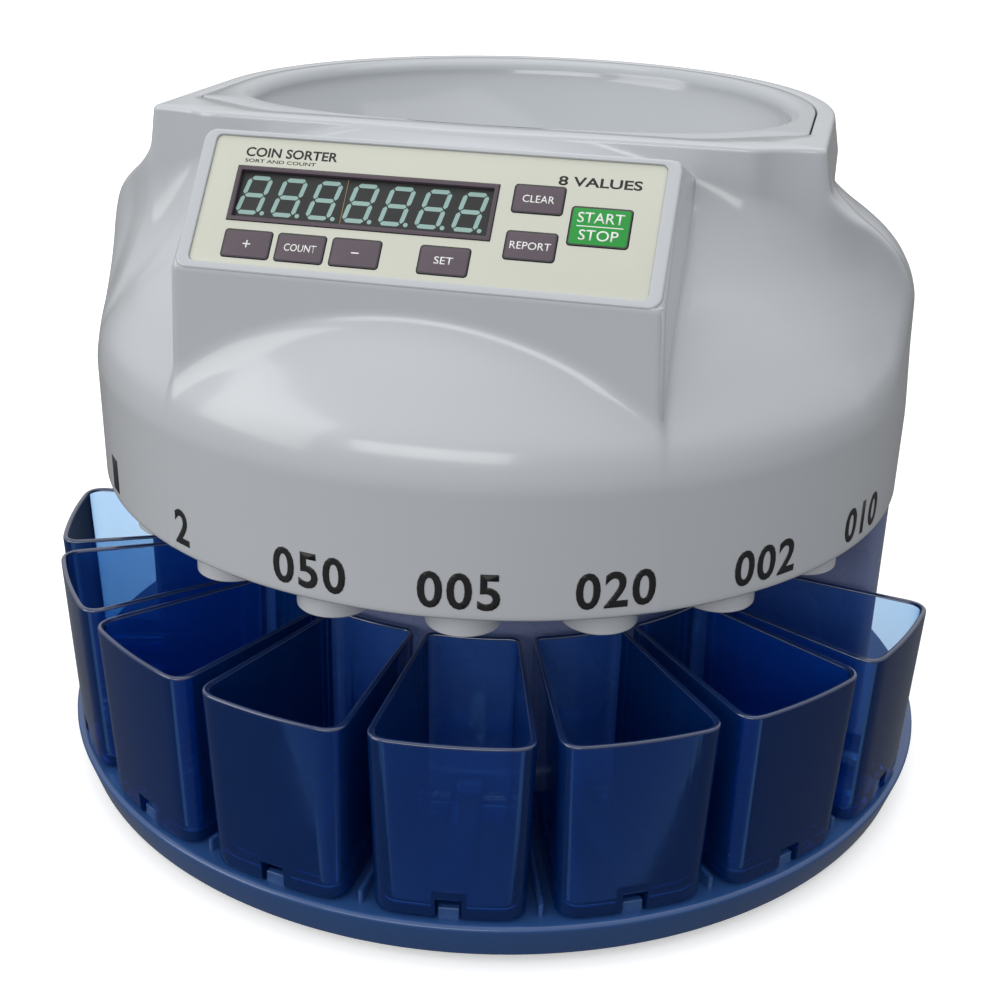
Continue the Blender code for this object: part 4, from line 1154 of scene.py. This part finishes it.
def rocker(turned_back):
    """The rocker: a hollowed face, with a bar at one end and a ring at the other."""
    face = [(-6.6, -3.5)]
    for i in range(13):
        z = -7.0 + 14.0 * i / 12
        face.append((z, 4.4 + 1.2 * abs(z / 7.0) ** 1.6))
    face.append((6.6, -3.5))
    body = skin("rocker", [[(x, y, z) for z, y in face] for x in (-4.7, 4.7)], caps=True)
    parts = [(bevelled(body, 0.4, 3), None, 0)]
    bar = prism_xz("bar", rounded_outline(0.6, 3.0, 0.2, 3, (0, 3.9)), 4.5, 5.02)
    circle = turned("ring", [(0.9, -0.3), (1.4, -0.3), (1.4, 0.3), (0.9, 0.3)], 32)
    upright = move(0, 4.75, -3.9) @ Matrix.Rotation(math.radians(96), 4, "X")
    parts += [(bar, None, 1), (circle, upright, 1)]
    data = joined("rocker_cap", parts)
    data.transform(Matrix.Rotation(math.radians(-8.0), 4, "X"))
    data.transform(turned_back @ move(SWITCH_X, ROCKER_PIVOT_Y, SOCKET_Z))
    piece("rocker_cap", data, [BLACK, WHITE_INK], "rocker", ["power_rocker"])


# ---------------------------------------------------------------- the mechanism that shows


def chutes():
    """Tubes that lean in from the outlets to the sorting rail's gates."""
    straight = 128.0
    slope = CHUTE_TOP - straight
    for i, size in enumerate(COIN_SIZES):
        angle = MIDDLE_CHUTE_ANGLE + CHUTE_PITCH * (i - (len(COIN_SIZES) - 1) / 2)
        rings = []
        heights = [CHUTE_BOTTOM, CHUTE_BOTTOM + 0.4, 116, 122, straight]
        heights += [straight + slope * k / 14 for k in range(1, 15)]
        for inside in (False, True):
            for z in heights[::-1] if inside else heights:
                share = float(ease((z - straight) / slope))
                centre = polar(CHUTE_OUT_R - (CHUTE_OUT_R - CHUTE_IN_R) * share, angle)
                radius = CHUTE_BORE if inside else CHUTE_RADIUS
                if z == heights[0]:
                    radius += 0.35 if inside else -0.35
                rings.append([
                    (centre[0] + radius * math.cos(math.tau * k / 48),
                     centre[1] + radius * math.sin(math.tau * k / 48), z)
                    for k in range(48)
                ])
        data = skin(f"chute_{size}", rings, closed=True)
        piece(f"chute_{size}", data, CHUTE, "machine", [f"coin_chute_{size}"])


def disc():
    """The rubber-faced disc with its drive ribs, and the cap on its hub."""
    axis = move(DISC_AXIS[0], DISC_AXIS[1], 0)
    profile = softened_corners(
        [(4.3, DISC_Z - 4), (12, DISC_Z - 4), (12, DISC_Z - 1), (DISC_R, DISC_Z - 1),
         (DISC_R, DISC_Z + 1.2), (30, DISC_Z + 1.2), (18, DISC_Z + 3), (4.3, DISC_Z + 3)],
        [0, 0.3, 0.3, 0.5, 0.6, 4.0, 2.0, 0], 4,
    )
    parts = [(turned("disc", profile, 144), None, 0)]
    for i in range(6):
        bar = slab("bar", 3.0, 30.0, 1.4, DISC_Z + 0.4, DISC_Z + 2.8, 0.7, (0, 39.0))
        parts.append((bar, turn_about_z(60 * i), 0))
    for i in range(24):
        bar = slab("groove", 0.8, 18.0, 0.3, DISC_Z + 0.9, DISC_Z + 1.5, 0.2, (0, 45.0))
        if i % 4:
            parts.append((bar, turn_about_z(15 * i), 0))
    data = joined("disc_face", parts)
    data.transform(axis)
    piece("disc_face", data, RUBBER, "disc_drive", ["sorting_disc"])
    profile = softened_corners(
        [(0, DISC_Z + 3.3), (14, DISC_Z + 3.3), (13, DISC_Z + 7), (6, DISC_Z + 12),
         (0, DISC_Z + 13)],
        [0, 0.5, 2.0, 4.0, 0], 6,
    )
    data = turned("hub_cap", profile, 96)
    data.transform(axis)
    piece("hub_cap", data, NYLON, "disc_drive", ["disc_cap"])


def other_nodes():
    """Finishes for the CAD pieces that stay as they are."""
    finishes = {
        "head_base_plate": HEAD, "sorter_plate": BRUSHED, "sorting_rail": BRUSHED,
        "drive_shaft": STEEL, "bearing_upper": STEEL, "bearing_lower": STEEL,
        "drive_gear": NYLON, "motor_pinion": BRASS, "motor": STEEL, "motor_bracket": STEEL,
        "sensor_board": CIRCUIT, "control_board": CIRCUIT, "power_board": CIRCUIT,
        "cover_screw_1": STEEL, "cover_screw_2": STEEL, "cover_screw_3": STEEL,
    }
    for name, finish in finishes.items():
        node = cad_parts[name]
        node.data.materials.clear()
        node.data.materials.append(finish)


# ---------------------------------------------------------------- floor, light and camera


def studio():
    scene = bpy.context.scene
    scene.view_settings.view_transform = "Standard"
    scene.cycles.transparent_max_bounces = 40
    world = bpy.data.worlds.new("studio")
    scene.world = world
    world.use_nodes = True
    tree = world.node_tree
    direction = tree.nodes.new("ShaderNodeTexCoord")
    split = tree.nodes.new("ShaderNodeSeparateXYZ")
    tree.links.new(direction.outputs["Generated"], split.inputs["Vector"])
    height = tree.nodes.new("ShaderNodeMapRange")
    height.inputs["From Min"].default_value = -1.0
    tree.links.new(split.outputs["Z"], height.inputs["Value"])
    sky = tree.nodes.new("ShaderNodeValToRGB")
    steps = [(0.0, 0.10), (0.46, 0.22), (0.56, 0.60), (0.75, 0.95), (1.0, 1.0)]
    while len(sky.color_ramp.elements) < len(steps):
        sky.color_ramp.elements.new(0.5)
    for element, (position, level) in zip(sky.color_ramp.elements, steps):
        element.position = position
        element.color = (level * 0.97, level * 0.985, level, 1.0)
    tree.links.new(height.outputs["Result"], sky.inputs["Fac"])
    tree.links.new(sky.outputs["Color"], tree.nodes["Background"].inputs["Color"])
    tree.nodes["Background"].inputs["Strength"].default_value = 1.0

    half, rear, bend, tall = 9.0, 3.0, 1.5, 7.0
    outline = [(-half, 0.0), (rear, 0.0)]
    for turn in np.radians(np.arange(10, 91, 10)):
        outline.append((rear + bend * math.sin(turn), bend - bend * math.cos(turn)))
    outline.append((rear + bend, tall))
    points = [(x, y, z) for y, z in outline for x in (-half, half)]
    faces = [(2 * i, 2 * i + 1, 2 * i + 3, 2 * i + 2) for i in range(len(outline) - 1)]
    sweep = bpy.data.meshes.new("floor")
    sweep.from_pydata(points, [], faces)
    sweep.shade_smooth()
    floor = shown("floor", sweep)
    paper, tree, shader = shader_tree("paper")
    shade = varied_colour(tree, noise(tree, 2.0), (0.90, 0.90, 0.90), 0.004)
    tree.links.new(shade, shader.inputs["Base Color"])
    shader.inputs["Roughness"].default_value = 0.9
    shader.inputs["Specular IOR Level"].default_value = 0.0
    shader.inputs["Emission Color"].default_value = (1.0, 1.0, 1.0, 1.0)
    shader.inputs["Emission Strength"].default_value = 0.35
    sweep.materials.append(paper)
    floor.visible_glossy = False
    floor.visible_diffuse = False

    for name, place, target, size, power, colour in [
        ("key", (-2.2, -1.6, 1.2), (0, 0, 0.15), (1.8, 1.8), 24.0, (1.0, 0.99, 0.97)),
        ("front", (-0.3, -3.4, 1.3), (0, 0, 0.12), (2.6, 0.8), 24.0, (1.0, 1.0, 1.0)),
        ("top", (0.2, 0.5, 2.4), (0, 0, 0.2), (2.4, 2.0), 12.0, (1.0, 1.0, 1.0)),
    ]:
        light = bpy.data.lights.new(name, "AREA")
        light.shape = "RECTANGLE"
        light.size, light.size_y = size
        light.energy = power
        light.color = colour
        made = shown(name, light)
        made.location = place
        made.rotation_mode = "QUATERNION"
        made.rotation_quaternion = (Vector(target) - Vector(place)).to_track_quat("-Z", "Y")


def camera():
    azimuth, elevation, roll = (math.radians(angle) for angle in (13.544, 23.858, 1.362))
    target, distance = Vector((-0.0055, 0.0091, 0.0903)), 0.6308
    back = Vector((
        math.sin(azimuth) * math.cos(elevation), -math.cos(azimuth) * math.cos(elevation),
        math.sin(elevation),
    ))
    right = Vector((math.cos(azimuth), math.sin(azimuth), 0))
    above = back.cross(right)
    data = bpy.data.cameras.new("camera")
    data.lens = 53.41
    data.sensor_width = 36.0
    data.shift_x, data.shift_y = 0.00808, -0.00103
    data.clip_start, data.clip_end = 0.01, 50.0
    made = shown("camera", data)
    x_axis = right * math.cos(roll) + above * math.sin(roll)
    y_axis = above * math.cos(roll) - right * math.sin(roll)
    matrix = Matrix((x_axis, y_axis, back)).transposed().to_4x4()
    matrix.translation = target + back * distance
    made.matrix_world = matrix
    bpy.context.scene.camera = made


head()
bowl()
head_numbers()
overlay()
keys()
display()
base()
bins()
column()
rear()
chutes()
disc()
other_nodes()
studio()
camera()
